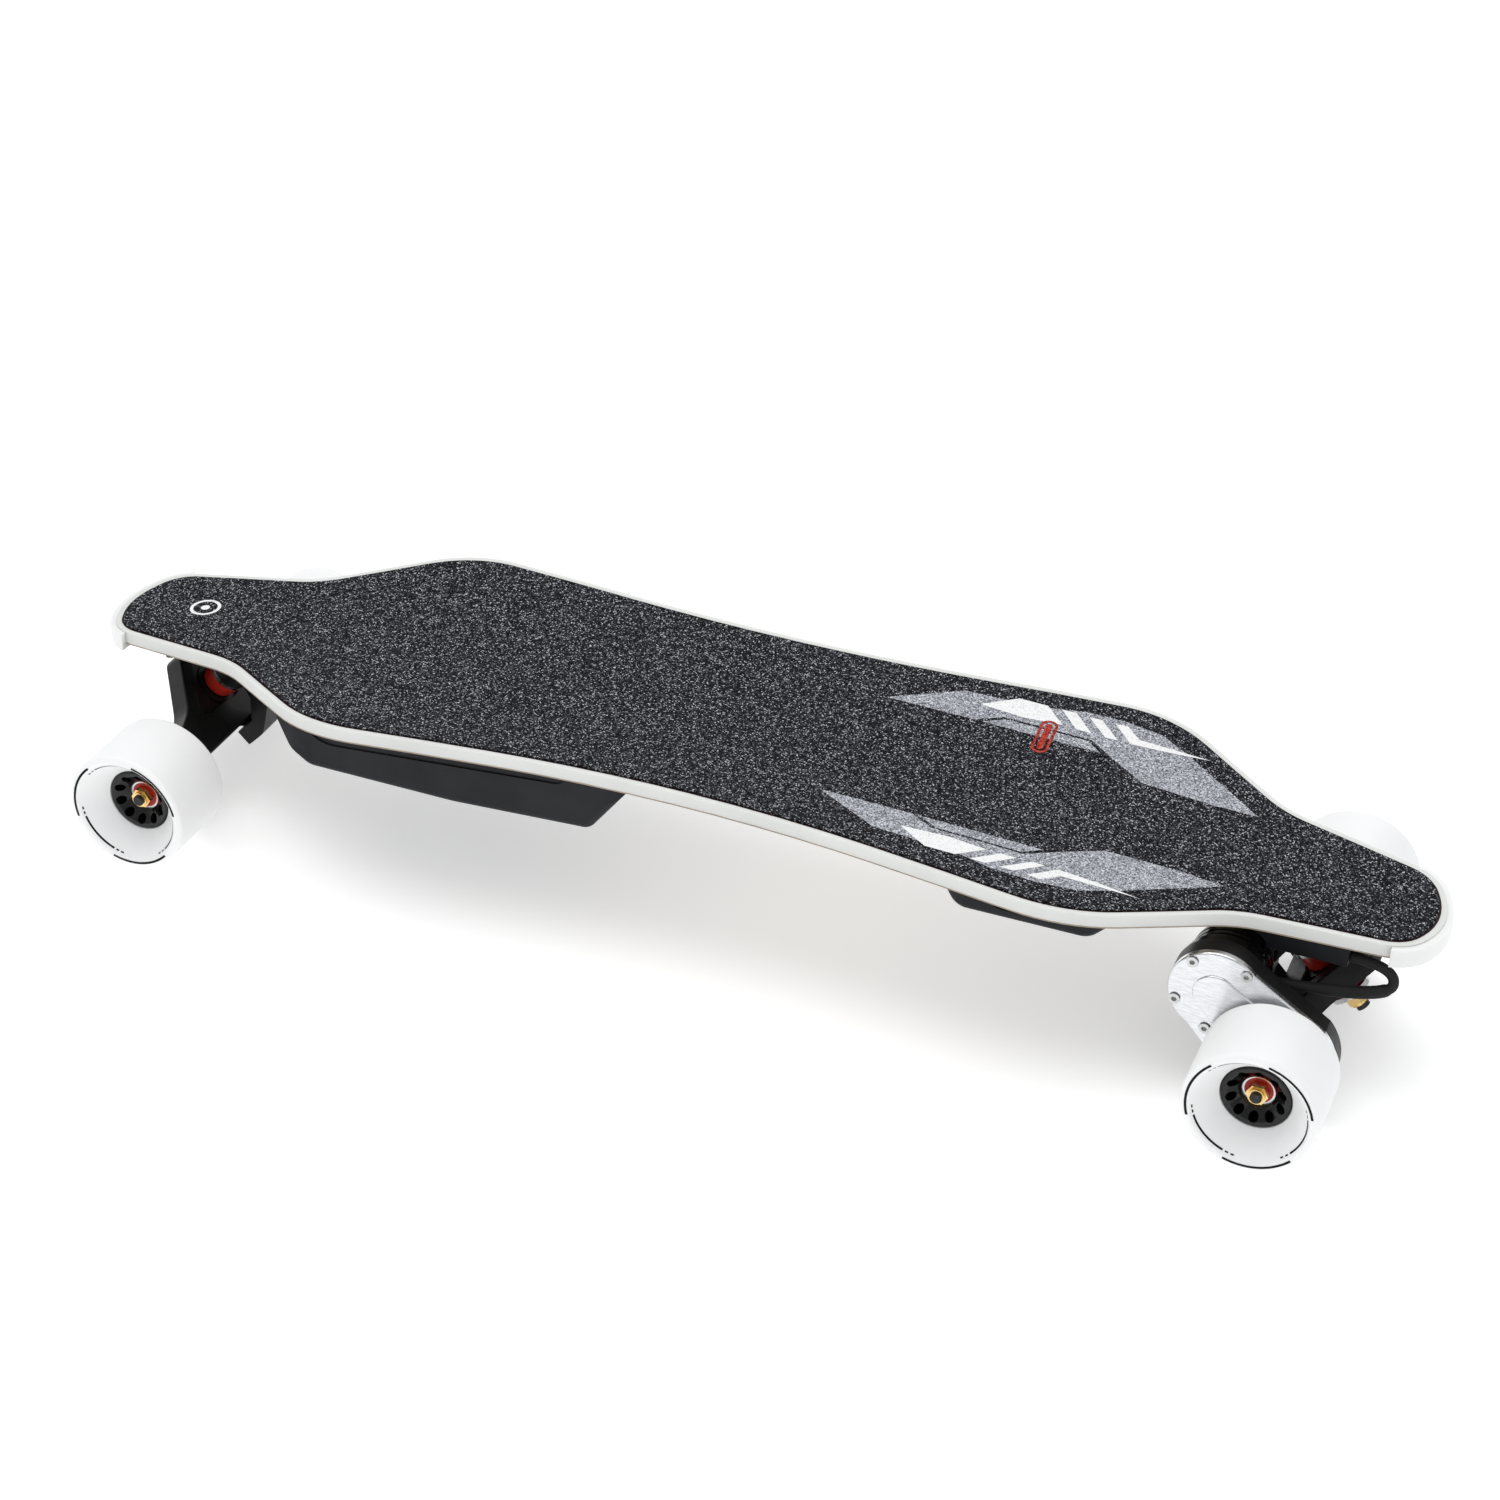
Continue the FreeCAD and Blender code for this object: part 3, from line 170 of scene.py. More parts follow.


# The top two stops paint glints onto a few grains; the lower stops are the grit's own dark tones.
grip_grit = make_grit(
    "grip_grit",
    (0.0, (0.003, 0.003, 0.004)),
    (0.52, (0.008, 0.008, 0.010)),
    (0.76, (0.032, 0.033, 0.039)),
    (0.90, (0.14, 0.145, 0.16)),
    (1.0, (0.62, 0.63, 0.67)),
)
grey_print = make_grit(
    "grey_print_grit",
    (0.0, (0.06, 0.063, 0.07)),
    (0.3, (0.21, 0.22, 0.24)),
    (0.6, (0.36, 0.375, 0.41)),
    (0.85, (0.58, 0.60, 0.64)),
    (1.0, (0.80, 0.82, 0.86)),
)
white_print = make_grit(
    "white_print_grit", (0.0, 0.60), (0.12, 0.84), (0.5, 0.90), (0.85, 0.92), (1.0, 0.95)
)
red_print = make_grit(
    "red_print_grit",
    (0.0, (0.10, 0.010, 0.010)),
    (0.4, (0.38, 0.030, 0.020)),
    (1.0, (0.62, 0.10, 0.07)),
)


def make_moulded(name, dark, light, rough=(0.45, 0.6), pitch=2200.0, depth=0.05):
    """Moulded plastic with a fine etched grain and faint unevenness."""
    s = Shader(name)
    s.fixed(Specular_IOR_Level=0.2)
    broad = s.noise(18.0, 3.0)
    s.colour(s.ramp(broad, (0.3, dark), (0.7, light)))
    s.rough(s.noise(60.0), *rough)
    s.bump(s.noise(pitch, 2.0), depth * MM, 0.5)
    return s.material


def make_metal(name, dark, light, rough=(0.25, 0.4), stretch=(1.0, 1.0, 1.0), pitch=260.0):
    """Bare or plated metal with fine drawn marks and light scuffs."""
    s = Shader(name)
    s.fixed(Metallic=1.0)
    marks = s.noise(pitch, 6.0, 0.7, stretch)
    s.colour(s.ramp(marks, (0.3, dark), (0.7, light)))
    s.rough(marks, *rough)
    s.bump(marks, 0.02 * MM, 0.4)
    return s.material


def make_paint(name, dark, light, rough, coat=0.0, pitch=900.0, depth=0.03):
    """Powder coat or enamel over metal: a slight orange peel and soft mottling."""
    s = Shader(name)
    s.fixed(Specular_IOR_Level=0.2, Coat_Weight=coat, Coat_Roughness=0.06)
    s.colour(s.ramp(s.noise(35.0), (0.3, dark), (0.7, light)))
    s.rough(s.noise(120.0), *rough)
    s.bump(s.noise(pitch, 3.0), depth * MM, 0.6)
    return s.material


def make_urethane(name, dark, light, rough, glow, depth_mm, tint):
    """Cast urethane: light gets a little way in and the surface is satin."""
    s = Shader(name)
    s.fixed(Subsurface_Weight=glow, Subsurface_Scale=depth_mm * MM, Subsurface_Radius=tint)
    s.colour(s.ramp(s.noise(14.0, 5.0), (0.25, dark), (0.75, light)))
    s.rough(s.noise(90.0), *rough)
    s.bump(s.noise(700.0, 4.0), 0.02 * MM, 0.5)
    return s.material


white_tyre = make_urethane(
    "white_wheel_urethane", (0.92, 0.92, 0.92), (0.96, 0.96, 0.96), (0.42, 0.58),
    0.3, 3.0, (1.0, 0.98, 0.96),
)
rail_white = make_urethane(
    "rail_urethane", (0.70, 0.705, 0.675), (0.78, 0.785, 0.76), (0.35, 0.5),
    0.4, 4.0, (1.0, 0.97, 0.92),
)
bumper_white = make_urethane(
    "bumper_urethane", (0.84, 0.84, 0.83), (0.90, 0.90, 0.89), (0.35, 0.5),
    0.4, 4.0, (1.0, 0.97, 0.94),
)
bushing_red = make_urethane(
    "bushing_urethane", (0.34, 0.012, 0.008), (0.55, 0.03, 0.015), (0.25, 0.4),
    0.3, 3.0, (1.0, 0.2, 0.1),
)
cup_black = make_moulded("cup_urethane", 0.012, 0.02, (0.4, 0.55))
box_plastic = make_moulded("box_plastic", (0.009, 0.0095, 0.012), (0.015, 0.016, 0.019), (0.42, 0.58))
gloss_black = make_paint("gloss_black_plastic", 0.006, 0.012, (0.12, 0.2), 0.6, 200.0, 0.01)
rubber_black = make_moulded("soft_rubber", 0.010, 0.018, (0.6, 0.75), 1500.0, 0.06)
foam_black = make_moulded("foam_gasket", 0.012, 0.03, (0.8, 0.95), 1800.0, 0.3)
truck_black = make_paint("truck_satin_black", 0.005, 0.010, (0.34, 0.48), 0.05, 1100.0, 0.05)
motor_black = make_paint("motor_gloss_black", 0.002, 0.005, (0.10, 0.22), 0.25, 300.0, 0.01)
core_black = make_paint("core_gloss_black", 0.003, 0.006, (0.10, 0.18), 0.25, 400.0, 0.01)
shield_red = make_paint(
    "bearing_shield_red", (0.36, 0.014, 0.012), (0.50, 0.03, 0.02), (0.3, 0.45), 0.2, 900.0, 0.03
)
print_black = make_paint("print_ink", 0.006, 0.010, (0.6, 0.7), 0.0, 900.0, 0.02)
steel = make_metal("bright_steel", 0.50, 0.66, (0.2, 0.34))
dark_steel = make_metal("black_oxide_steel", 0.03, 0.06, (0.35, 0.5))
gold = make_metal("yellow_zinc", (0.66, 0.42, 0.12), (0.90, 0.68, 0.34), (0.16, 0.3))
cover_silver = make_metal(
    "polished_cover", (0.56, 0.57, 0.59), (0.84, 0.85, 0.87), (0.14, 0.30), (1.0, 1.0, 8.0), 140.0
)
gear_steel = make_metal("machined_gear", 0.34, 0.48, (0.25, 0.4), (1.0, 12.0, 1.0))
copper = make_metal("winding_copper", (0.40, 0.14, 0.05), (0.66, 0.28, 0.12), (0.3, 0.45), (1.0, 20.0, 1.0))


def make_maple(name, dark, light):
    """Maple with long grain that runs along the board."""
    s = Shader(name)
    grain = s.noise(60.0, 6.0, 0.65, (0.25, 3.0, 14.0))
    s.colour(s.ramp(grain, (0.3, dark), (0.7, light)))
    s.rough(grain, 0.45, 0.6)
    s.bump(grain, 0.05 * MM, 0.6)
    return s.material


def make_veneer():
    """Dark red-brown dyed veneer under clear lacquer."""
    s = Shader("dyed_veneer")
    s.fixed(Specular_IOR_Level=0.1)
    grain = s.noise(90.0, 6.0, 0.65, (0.2, 4.0, 4.0))
    s.colour(s.ramp(grain, (0.3, (0.006, 0.003, 0.003)), (0.7, (0.030, 0.007, 0.006))))
    s.rough(grain, 0.35, 0.5)
    s.bump(grain, 0.03 * MM, 0.5)
    return s.material


def make_cell_wrap():
    """The printed film shrunk round a battery cell."""
    s = Shader("cell_wrap")
    bands = s.noise(40.0, 2.0, 0.5, (1.0, 0.2, 1.0))
    s.colour(s.ramp(bands, (0.3, (0.02, 0.16, 0.14)), (0.7, (0.04, 0.24, 0.20))))
    s.rough(bands, 0.25, 0.4)
    s.bump(s.noise(500.0), 0.02 * MM, 0.4)
    return s.material


def make_board():
    """A circuit board's solder mask with faint blocks of copper under it."""
    s = Shader("circuit_board")
    tracks = s.grains(220.0)
    s.colour(s.ramp(tracks, (0.55, (0.010, 0.070, 0.030)), (0.62, (0.030, 0.130, 0.060))))
    s.rough(tracks, 0.3, 0.45)
    s.bump(tracks, 0.03 * MM, 0.5)
    return s.material


NODE_LOOKS = {
    "grip_tape": grip_grit,
    "top_veneer": make_veneer(),
    "deck_core": make_maple("maple_core", (0.42, 0.27, 0.14), (0.62, 0.46, 0.28)),
    "bottom_veneer": make_maple("maple_veneer", (0.28, 0.23, 0.17), (0.40, 0.33, 0.25)),
    "edge_rail": rail_white,
    "end_bumpers": bumper_white,
    "battery_enclosure": box_plastic,
    "controller_enclosure": box_plastic,
    "cable_guides": box_plastic,
    "enclosure_gaskets": foam_black,
    "battery_cells": make_cell_wrap(),
    "battery_board": make_board(),
    "enclosure_screws": dark_steel,
    "truck_bolts": dark_steel,
    "kingpins": dark_steel,
    "power_button": gloss_black,
    "charge_socket": gloss_black,
    "charge_cap": rubber_black,
    "riser_pads": rubber_black,
    "cap_hinge": steel,
    "front_axle": dark_steel,
    "idler_pins": steel,
    "cup_washers": steel,
    "cover_screws": steel,
    "baseplates": truck_black,
    "front_hanger": truck_black,
    "kingpin_nuts": gold,
    "front_axle_hardware": gold,
    "pivot_cups": cup_black,
    "stators": copper,
}
NODE_LOOKS["controller_board"] = NODE_LOOKS["battery_board"]
for kind in ("axle", "hanger", "axle_hardware"):
    NODE_LOOKS["rear_" + kind] = NODE_LOOKS["front_" + kind]
for wheel in WHEELS:
    NODE_LOOKS[wheel + "_tyre"] = white_tyre
    NODE_LOOKS[wheel + "_wheel_core"] = core_black
    NODE_LOOKS[wheel + "_bearings"] = steel
for side in SIDES:
    NODE_LOOKS[side + "_gear_cover"] = cover_silver
    NODE_LOOKS[side + "_gear_plate"] = truck_black
    NODE_LOOKS[side + "_motor_case"] = motor_black
    for gear in ("rotor", "idler_gear", "wheel_gear"):
        NODE_LOOKS[side + "_" + gear] = gear_steel


for node, look in NODE_LOOKS.items():
    NODES[node].data.materials.clear()
    NODES[node].data.materials.append(look)


# ---- Making pieces ------------------------------------------------------

def add_mesh(name, vertices, faces, material, smooth=True):
    """A new object in the scene from its points and faces."""
    mesh = bpy.data.meshes.new(name)
    mesh.from_pydata([tuple(v) for v in vertices], [], faces)
    mesh.validate()
    if smooth:
        mesh.shade_smooth()
    obj = bpy.data.objects.new(name, mesh)
    bpy.context.scene.collection.objects.link(obj)
    obj.data.materials.append(material)
    return obj


def surface_of(node):
    """A search tree of a CAD node's surface, for laying thin prints on it."""
    mesh = NODES[node].data
    mesh.calc_loop_triangles()
    points = [v.co.copy() for v in mesh.vertices]
    triangles = [tuple(t.vertices) for t in mesh.loop_triangles]
    return BVHTree.FromPolygons(points, triangles)


# ---- Printed panels on the grip ----------------------------------------

# Plan outlines in millimetres, x towards the tail and y out from the line
# that the two mirrored halves share.
PRINT_CENTRE_Y = 3.0
GREY_PANEL = [
    (80, 64), (128, 93), (150, 94), (191, 98), (213, 104), (242, 105), (270, 101),
    (293, 87), (353, 44), (322, 42), (272, 44), (246, 61), (226, 75.5), (163, 75), (145, 64),
]
GREY_STRIP = [(150, 64), (165, 73), (224, 73.5), (236, 64)]
WHITE_SHAPES = [
    [(143, 82.5), (166, 99.5), (187, 99.5), (203, 83), (176, 80)],
    [(197, 99.5), (207.5, 100), (224, 82.5), (213, 82.5)],
    [(217, 99.5), (226.5, 99.5), (243, 82.5), (234, 82)],
    [(236, 99.5), (245, 100.5), (256, 89.5), (278, 89), (308, 88.5), (278, 84.5), (252, 82.5)],
]
PRINT_STEP = 5.0             # cell size of a print, small enough to follow the deck
GREY_LIFT = 0.20             # each print lies a little above the one under it
WHITE_LIFT = 0.34
RED_LIFT = 0.46
ABOVE_ALL = 1.0              # a height above the whole board, in metres
grip_surface = surface_of("grip_tape")


def drape(x, y, lift):
    """A point of the grip's surface, in metres, lifted a little."""
    hit = grip_surface.ray_cast(Vector((x * MM, y * MM, ABOVE_ALL)), Vector((0, 0, -1)))
    return Vector((x * MM, y * MM, hit[0].z + lift * MM))


def cut_into_cells(bm, outline):
    """Cuts a flat face along both plan axes, every PRINT_STEP."""
    for axis in (0, 1):
        places = [corner[axis] for corner in outline]
        position = min(places) + PRINT_STEP
        while position < max(places):
            point = [0.0, 0.0, 0.0]
            normal = [0.0, 0.0, 0.0]
            point[axis] = position
            normal[axis] = 1.0
            everything = bm.verts[:] + bm.edges[:] + bm.faces[:]
            bmesh.ops.bisect_plane(bm, geom=everything, plane_co=point, plane_no=normal)
            position += PRINT_STEP


def draped_shape(name, outline, lift, material):
    """A flat outline cut into small cells and laid on the grip."""
    flat = bpy.data.meshes.new(name + "_flat")
    flat.from_pydata([(x, y, 0.0) for x, y in outline], [], [list(range(len(outline)))])
    bm = bmesh.new()
    bm.from_mesh(flat)
    bmesh.ops.triangulate(bm, faces=bm.faces[:])
    cut_into_cells(bm, outline)
    bmesh.ops.triangulate(bm, faces=bm.faces[:])
    for vertex in bm.verts:
        vertex.co = drape(vertex.co.x, vertex.co.y, lift)
    bmesh.ops.recalc_face_normals(bm, faces=bm.faces[:])
    mesh = bpy.data.meshes.new(name)
    bm.to_mesh(mesh)
    bm.free()
    bpy.data.meshes.remove(flat)
    if mesh.polygons and mesh.polygons[0].normal.z < 0:
        mesh.flip_normals()
    obj = bpy.data.objects.new(name, mesh)
    bpy.context.scene.collection.objects.link(obj)
    obj.data.materials.append(material)
    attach(obj, "deck")


def on_side(outline, sign):
    """One of the two mirrored copies of an outline, in the same turning sense."""
    placed = [(x, PRINT_CENTRE_Y + sign * y) for x, y in outline]
    return placed if sign > 0 else placed[::-1]


def ring_points(cx, cy, radius, count):
    """Points evenly spaced round a circle in plan."""
    points = []
    for k in range(count):
        angle = 2 * math.pi * k / count
        points.append((cx + radius * math.cos(angle), cy + radius * math.sin(angle)))
    return points


def draped_band(name, inner, outer, lift, material):
    """A closed band between two matching rings of plan points."""
    vertices = [drape(x, y, lift) for x, y in inner + outer]
    count = len(inner)
    faces = []
    for k in range(count):
        following = (k + 1) % count
        faces.append((k, following, count + following, count + k)[::-1])
    obj = add_mesh(name, vertices, faces, material, False)
    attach(obj, "deck")


for sign, side in ((-1, "near"), (1, "far")):
    draped_shape(side + "_grey_panel", on_side(GREY_PANEL, sign), GREY_LIFT, grey_print)
    draped_shape(side + "_grey_strip", on_side(GREY_STRIP, sign), GREY_LIFT, grey_print)
    for k, outline in enumerate(WHITE_SHAPES):
        name = "%s_white_bar_%d" % (side, k + 1)
        draped_shape(name, on_side(outline, sign), WHITE_LIFT, white_print)

# A plain ring and dot near the nose, and a plain red tab beside the bars.
MARK = (-428.0, 3.0)
MARK_RING_R = (9.0, 11.5)
MARK_DOT_R = 3.4
mark_ring = [ring_points(*MARK, radius, 36) for radius in MARK_RING_R]
draped_band("nose_ring", *mark_ring, GREY_LIFT, white_print)
draped_shape("nose_dot", ring_points(*MARK, MARK_DOT_R, 20), GREY_LIFT, white_print)


def pill_points(cx, cy, half_length, radius, lean, count=20):
    """A stadium outline that leans in plan."""
    points = []
    for k in range(count):
        angle = 2 * math.pi * k / count
        along = radius * math.sin(angle) + (half_length if math.sin(angle) >= 0 else -half_length)
        aside = radius * math.cos(angle)
        points.append((
            cx + aside * math.cos(lean) - along * math.sin(lean),
            cy + aside * math.sin(lean) + along * math.cos(lean),
        ))
    return points


TAB = (195.5, 68.0)
TAB_HALF_LENGTH = 13.0
TAB_LEAN = math.radians(3.0)
TAB_EDGE_R = (4.2, 6.2)
TAB_BAR_R = 2.4
tab_edge = [pill_points(*TAB, TAB_HALF_LENGTH, radius, TAB_LEAN) for radius in TAB_EDGE_R]
draped_band("red_tab_edge", *tab_edge, RED_LIFT, red_print)
tab_bar = pill_points(*TAB, TAB_HALF_LENGTH, TAB_BAR_R, TAB_LEAN)
draped_shape("red_tab_bar", tab_bar, RED_LIFT, red_print)


# ---- Wheels -------------------------------------------------------------

# Printed arcs: radius and width in millimetres, sweep in degrees. The bold arcs
# are on the rim, and the thin ones, each with dashes at its ends, between them.
ARC_COUNT = 3
BOLD_R, BOLD_W, BOLD_SWEEP = 40.9, 1.7, 66.0
THIN_R, THIN_W, THIN_SWEEP = 37.3, 0.9, 48.0
DASH_W = 0.7
DASH_SPANS = ((26.5, 30.0), (32.5, 36.0))
PRINT_START = 45.0
PRINT_ROWS = 5               # points across an arc, which keep it above the rounded rim
ARC_STEP = 2.0               # degrees between the points along an arc
ARC_LIFT = 0.15
BEARING_SHIELD = (5.9, 10.2)
SHIELD_LIFT = 0.12


def tyre_print(wheel, surface, radius, width, start, sweep):
    """A printed arc on the outer face of a tyre."""
    centre = middle(wheel + "_tyre")
    outward = -1.0 if "left" in wheel else 1.0
    steps = max(2, int(abs(sweep) / ARC_STEP))
    vertices = []
    for k in range(steps + 1):
        angle = math.radians(start + sweep * k / steps)
        for row in range(PRINT_ROWS):
            r = radius + width * (row / (PRINT_ROWS - 1) - 0.5)
            x = centre.x + r * MM * math.cos(angle)
            z = centre.z + r * MM * math.sin(angle)
            origin = Vector((x, centre.y + outward * 0.1, z))
            hit = surface.ray_cast(origin, Vector((0, -outward, 0)))[0]
            vertices.append(hit + Vector((0, outward * ARC_LIFT * MM, 0)))
    faces = []
    for k in range(steps):
        for row in range(PRINT_ROWS - 1):
            a = PRINT_ROWS * k + row
            face = (a, a + 1, a + 1 + PRINT_ROWS, a + PRINT_ROWS)
            faces.append(face if outward < 0 else face[::-1])
    return vertices, faces


def wheel_arcs():
    """Every printed arc as (radius, width, start, sweep)."""
    arcs = []
    pitch = 360.0 / ARC_COUNT
    for k in range(ARC_COUNT):
        bold = PRINT_START + pitch * k
        thin = bold + pitch / 2
        arcs.append((BOLD_R, BOLD_W, bold - BOLD_SWEEP / 2, BOLD_SWEEP))
        arcs.append((THIN_R, THIN_W, thin - THIN_SWEEP / 2, THIN_SWEEP))
        for near, far in DASH_SPANS:
            arcs.append((THIN_R, DASH_W, thin + near, far - near))
            arcs.append((THIN_R, DASH_W, thin - far, far - near))
    return arcs


def print_wheel(wheel):
    """All the printed arcs of one wheel, as one thin piece."""
    surface = surface_of(wheel + "_tyre")
    vertices = []
    faces = []
    for radius, width, start, sweep in wheel_arcs():
        points, cells = tyre_print(wheel, surface, radius, width, start, sweep)
        offset = len(vertices)
        vertices += points
        faces += [tuple(i + offset for i in face) for face in cells]
    obj = add_mesh(wheel + "_print", vertices, faces, print_black, False)
    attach(obj, wheel + "_wheel")


def lathe(name, centre, profile, material, steps=48):
    """A ring turned about Y from (radius mm, y metres) points."""
    vertices = []
    faces = []
    count = len(profile)
    for k in range(steps):
        angle = 2 * math.pi * k / steps
        for radius, y in profile:
            r = radius * MM
            vertices.append((centre.x + r * math.cos(angle), y, centre.z + r * math.sin(angle)))
    for k in range(steps):
        a = k * count
        b = ((k + 1) % steps) * count
        for i in range(count - 1):
            faces.append((a + i, a + i + 1, b + i + 1, b + i))
    return add_mesh(name, vertices, faces, material)


def shield_bearings(wheel):
    """The coloured shield let into the outer face of the outer bearing."""
    low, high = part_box(wheel + "_bearings")
    outward = -1.0 if "left" in wheel else 1.0
    face_y = low.y if outward < 0 else high.y
    inner, outer = BEARING_SHIELD
    rise = outward * SHIELD_LIFT * MM
    profile = [
        (inner, face_y - 3 * rise),
        (inner + 0.3, face_y - rise),
        (inner + 1.2, face_y - 1.6 * rise),
        (outer - 0.5, face_y - rise),
        (outer, face_y - 3 * rise),
    ]
    if outward > 0:
        profile = profile[::-1]
    centre = (low + high) / 2
    obj = lathe(wheel + "_bearing_shield", centre, profile, shield_red)
    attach(obj, wheel + "_wheel")


for wheel in WHEELS:
    print_wheel(wheel)
    shield_bearings(wheel)


# ---- Motor leads --------------------------------------------------------

# The lead's route on the far side, in metres, from the motor's gland round
# behind the hanger and back into the guide under the deck.
AXLE_X = middle("rear_axle").x
LEAD_R = 3.5 * MM
SLEEVE = (0.10, 0.42)        # where along the lead the sleeve starts and ends
SLEEVE_FADE = 0.03           # how much of the lead each end of the sleeve tapers over
SLEEVE_WALL = 0.9 * MM
SLEEVE_RIPPLES = 220.0       # radians of ripple along the whole lead
LEAD_ROUTE = [
    (AXLE_X - 0.0105, 0.0610, 0.0840),
    (AXLE_X + 0.0610, 0.0470, 0.0805),
    (AXLE_X + 0.0630, 0.0420, 0.1045),
    (0.4400, 0.0420, 0.1045),
]


def smooth_line(points, name):
    """The points of one NURBS spline through a short control polygon."""
    curve = bpy.data.curves.new(name, "CURVE")
    curve.dimensions = "3D"
    spline = curve.splines.new("NURBS")
    spline.points.add(len(points) - 1)
    for point, place in zip(spline.points, points):
        point.co = (*place, 1.0)
    spline.order_u = 3
    spline.use_endpoint_u = True
    spline.resolution_u = 24
    obj = bpy.data.objects.new(name, curve)
    bpy.context.scene.collection.objects.link(obj)
    bpy.context.view_layer.update()
    mesh = bpy.data.meshes.new_from_object(obj.evaluated_get(bpy.context.evaluated_depsgraph_get()))
    line = [v.co.copy() for v in mesh.vertices]
    bpy.data.meshes.remove(mesh)
    bpy.data.objects.remove(obj)
    bpy.data.curves.remove(curve)
    return line


def tube(name, line, radius_at, material, around=20):
    """A round tube along a line, its radius a function of the share along it."""
    vertices = []
    faces = []
    up = Vector((0, 1, 0))
    last = len(line) - 1
    for k, point in enumerate(line):
        ahead = line[min(k + 1, last)] - line[max(k - 1, 0)]
        ahead.normalize()
        across = up.cross(ahead).normalized()
        over = ahead.cross(across)
        for j in range(around):
            angle = 2 * math.pi * j / around
            offset = across * math.cos(angle) + over * math.sin(angle)
            vertices.append(point + offset * radius_at(k / last))
    for k in range(last):
        for j in range(around):
            after = (j + 1) % around
            here = k * around
            there = here + around
            faces.append((here + j, there + j, there + after, here + after))
    faces.append(tuple(range(around)))
    faces.append(tuple(last * around + j for j in reversed(range(around))))
    return add_mesh(name, vertices, faces, material)


def lead_radius(share):
    """Thin jacket, with a shrunk sleeve over the joint near the motor."""
    start, end = SLEEVE
    if not start < share < end:
        return LEAD_R
    fade = min(1.0, min(share - start, end - share) / SLEEVE_FADE)
    ripple = 0.9 + 0.1 * math.cos(share * SLEEVE_RIPPLES)
    return LEAD_R + SLEEVE_WALL * fade * ripple


for sign, side in ((-1, "left"), (1, "right")):
    route = [(x, sign * y, z) for x, y, z in LEAD_ROUTE]
    lead = tube(side + "_motor_lead", smooth_line(route, side + "_lead_line"), lead_radius, rubber_black)
    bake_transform(lead)
    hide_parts("motor_leads")


# ---- Bushings -----------------------------------------------------------

TILT = math.radians(44.0)    # lean of the kingpins
BUSHING_LEVELS = 12
BUSHING_STEPS = 40
BUSHING_ROUND = 1.2          # rounding of the two rims
BUSHING_BELLY = 0.6          # bulge of the squeezed middle
RIM_SHARPNESS = 10


def bushing(name, seat, along, radii, length):
    """A soft bushing from the hanger's seat out to its cup washer."""
    side = along.cross(Vector((0, 1, 0))).normalized()
    across = Vector((0, 1, 0))
    levels = BUSHING_LEVELS
    steps = BUSHING_STEPS
    vertices = []
    faces = []
    for i in range(levels + 1):
        share = i / levels
        radius = radii[0] + (radii[1] - radii[0]) * share
        fullness = math.sqrt(max(0.0, 1 - (2 * abs(share - 0.5)) ** RIM_SHARPNESS))
        rounding = BUSHING_ROUND * (1 - fullness)
        belly = BUSHING_BELLY * math.sin(math.pi * share)
        r = (radius - rounding + belly) * MM
        for j in range(steps):
            angle = 2 * math.pi * j / steps
            offset = side * math.cos(angle) + across * math.sin(angle)
            vertices.append(seat + along * (length * share) + offset * r)
    for i in range(levels):
        for j in range(steps):
            after = (j + 1) % steps
            here = i * steps
            there = here + steps
            faces.append((here + j, here + after, there + after, there + j))
    for level, flip in ((0, True), (levels, False)):
        ring = [level * steps + j for j in range(steps)]
        faces.append(tuple(ring[::-1] if flip else ring))
    obj = add_mesh(name, vertices, faces, bushing_red)
    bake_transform(obj)
    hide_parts("bushings")


SEAT_FROM_PIVOT = 24.0 * MM
SEAT_HALF = 5.0 * MM
BUSHING_LENGTH = 15.0 * MM
BARREL_R = (13.0, 13.0)
CONE_R = (13.0, 10.3)
steer_joints = {j["name"]: j for j in frame["joints"] if j["name"].endswith("_steer")}
for end in ("front", "rear"):
    joint = steer_joints[end + "_steer"]
    pivot = Vector(joint["pos_m"])
    axis = Vector(joint["axis"]).normalized()
    seat = pivot + axis * SEAT_FROM_PIVOT
    up = Vector((-math.copysign(math.sin(TILT), axis.x), 0, math.cos(TILT)))
    for name, way, radii in (("upper", up, BARREL_R), ("lower", -up, CONE_R)):
        foot = seat + way * SEAT_HALF
        bushing(f"{end}_{name}_bushing", foot, way, radii, BUSHING_LENGTH)


# ---- Floor, light and camera -------------------------------------------

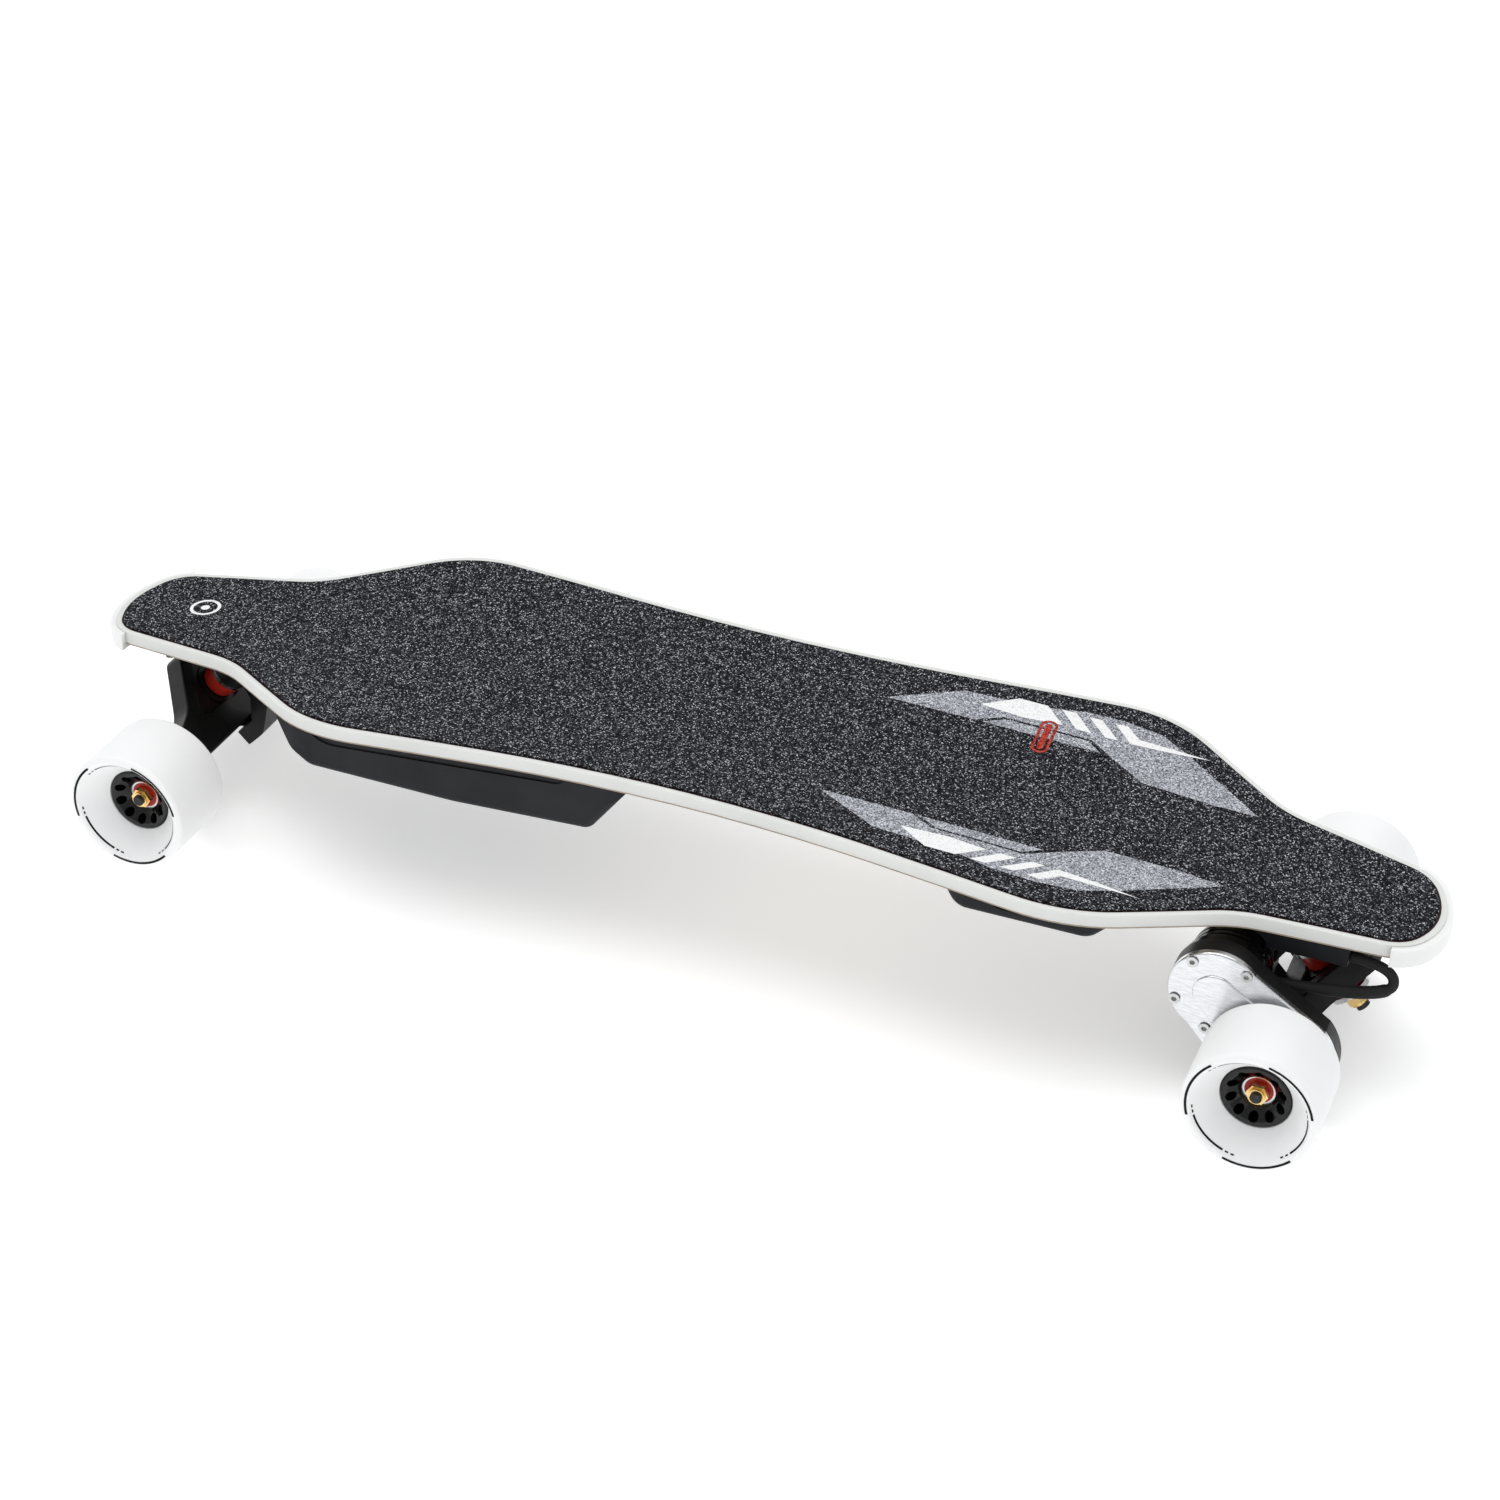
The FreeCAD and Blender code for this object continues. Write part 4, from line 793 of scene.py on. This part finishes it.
SPAN = 30.0
FLOOR_GLOW = 0.42            # a lit table, so the background stays white and shadows light
floor_mesh = bpy.data.meshes.new("floor")
floor_mesh.from_pydata(
    [(-SPAN, -SPAN, 0), (SPAN, -SPAN, 0), (SPAN, SPAN, 0), (-SPAN, SPAN, 0)], [], [(0, 1, 2, 3)]
)
floor = bpy.data.objects.new("floor", floor_mesh)
bpy.context.scene.collection.objects.link(floor)
floor_look = Shader("pale_floor")
floor_look.colour(floor_look.ramp(floor_look.noise(2.0), (0.3, 0.88), (0.7, 0.90)))
floor_look.rough(floor_look.noise(3.0), 0.85, 0.95)
floor_look.fixed(Emission_Color=(1.0, 1.0, 1.0, 1.0), Emission_Strength=FLOOR_GLOW)
floor.data.materials.append(floor_look.material)

world = bpy.data.worlds.new("studio")
bpy.context.scene.world = world
world.use_nodes = True
sky = world.node_tree.nodes["Background"].inputs
sky["Color"].default_value = (0.97, 0.985, 1.0, 1.0)
sky["Strength"].default_value = 0.58


def area_light(name, place, size, power, target=(0.0, 0.0, 0.1)):
    light = bpy.data.lights.new(name, "AREA")
    light.shape = "DISK"
    light.size = size
    light.energy = power
    obj = bpy.data.objects.new(name, light)
    obj.location = place
    obj.rotation_euler = (Vector(target) - Vector(place)).to_track_quat("-Z", "Y").to_euler()
    bpy.context.scene.collection.objects.link(obj)


area_light("top", (0.0, 0.0, 3.0), 3.0, 34.0)
area_light("key", (-1.4, -0.5, 2.6), 1.4, 12.0)
area_light("fill", (2.2, -1.8, 1.4), 1.8, 4.0)
area_light("back", (0.6, 2.4, 1.8), 1.6, 8.0)

CAMERA_PLACE = Vector((0.66923, -1.71746, 1.29976))
CAMERA_RIGHT = Vector((0.92559, 0.37746, 0.02857))
CAMERA_UP = Vector((-0.22597, 0.49040, 0.84169))
camera_data = bpy.data.cameras.new("camera")
camera_data.sensor_width = 36.0
camera_data.lens = 75.75
camera_data.clip_end = 100.0
camera = bpy.data.objects.new("camera", camera_data)
camera_back = CAMERA_RIGHT.cross(CAMERA_UP).normalized()
camera_up = camera_back.cross(CAMERA_RIGHT).normalized()
camera_right = camera_up.cross(camera_back)
rows = list(zip(camera_right, camera_up, camera_back, CAMERA_PLACE))
camera.matrix_world = Matrix([*rows, (0, 0, 0, 1)])
bpy.context.scene.collection.objects.link(camera)
bpy.context.scene.camera = camera
bpy.context.scene.view_settings.view_transform = "Standard"
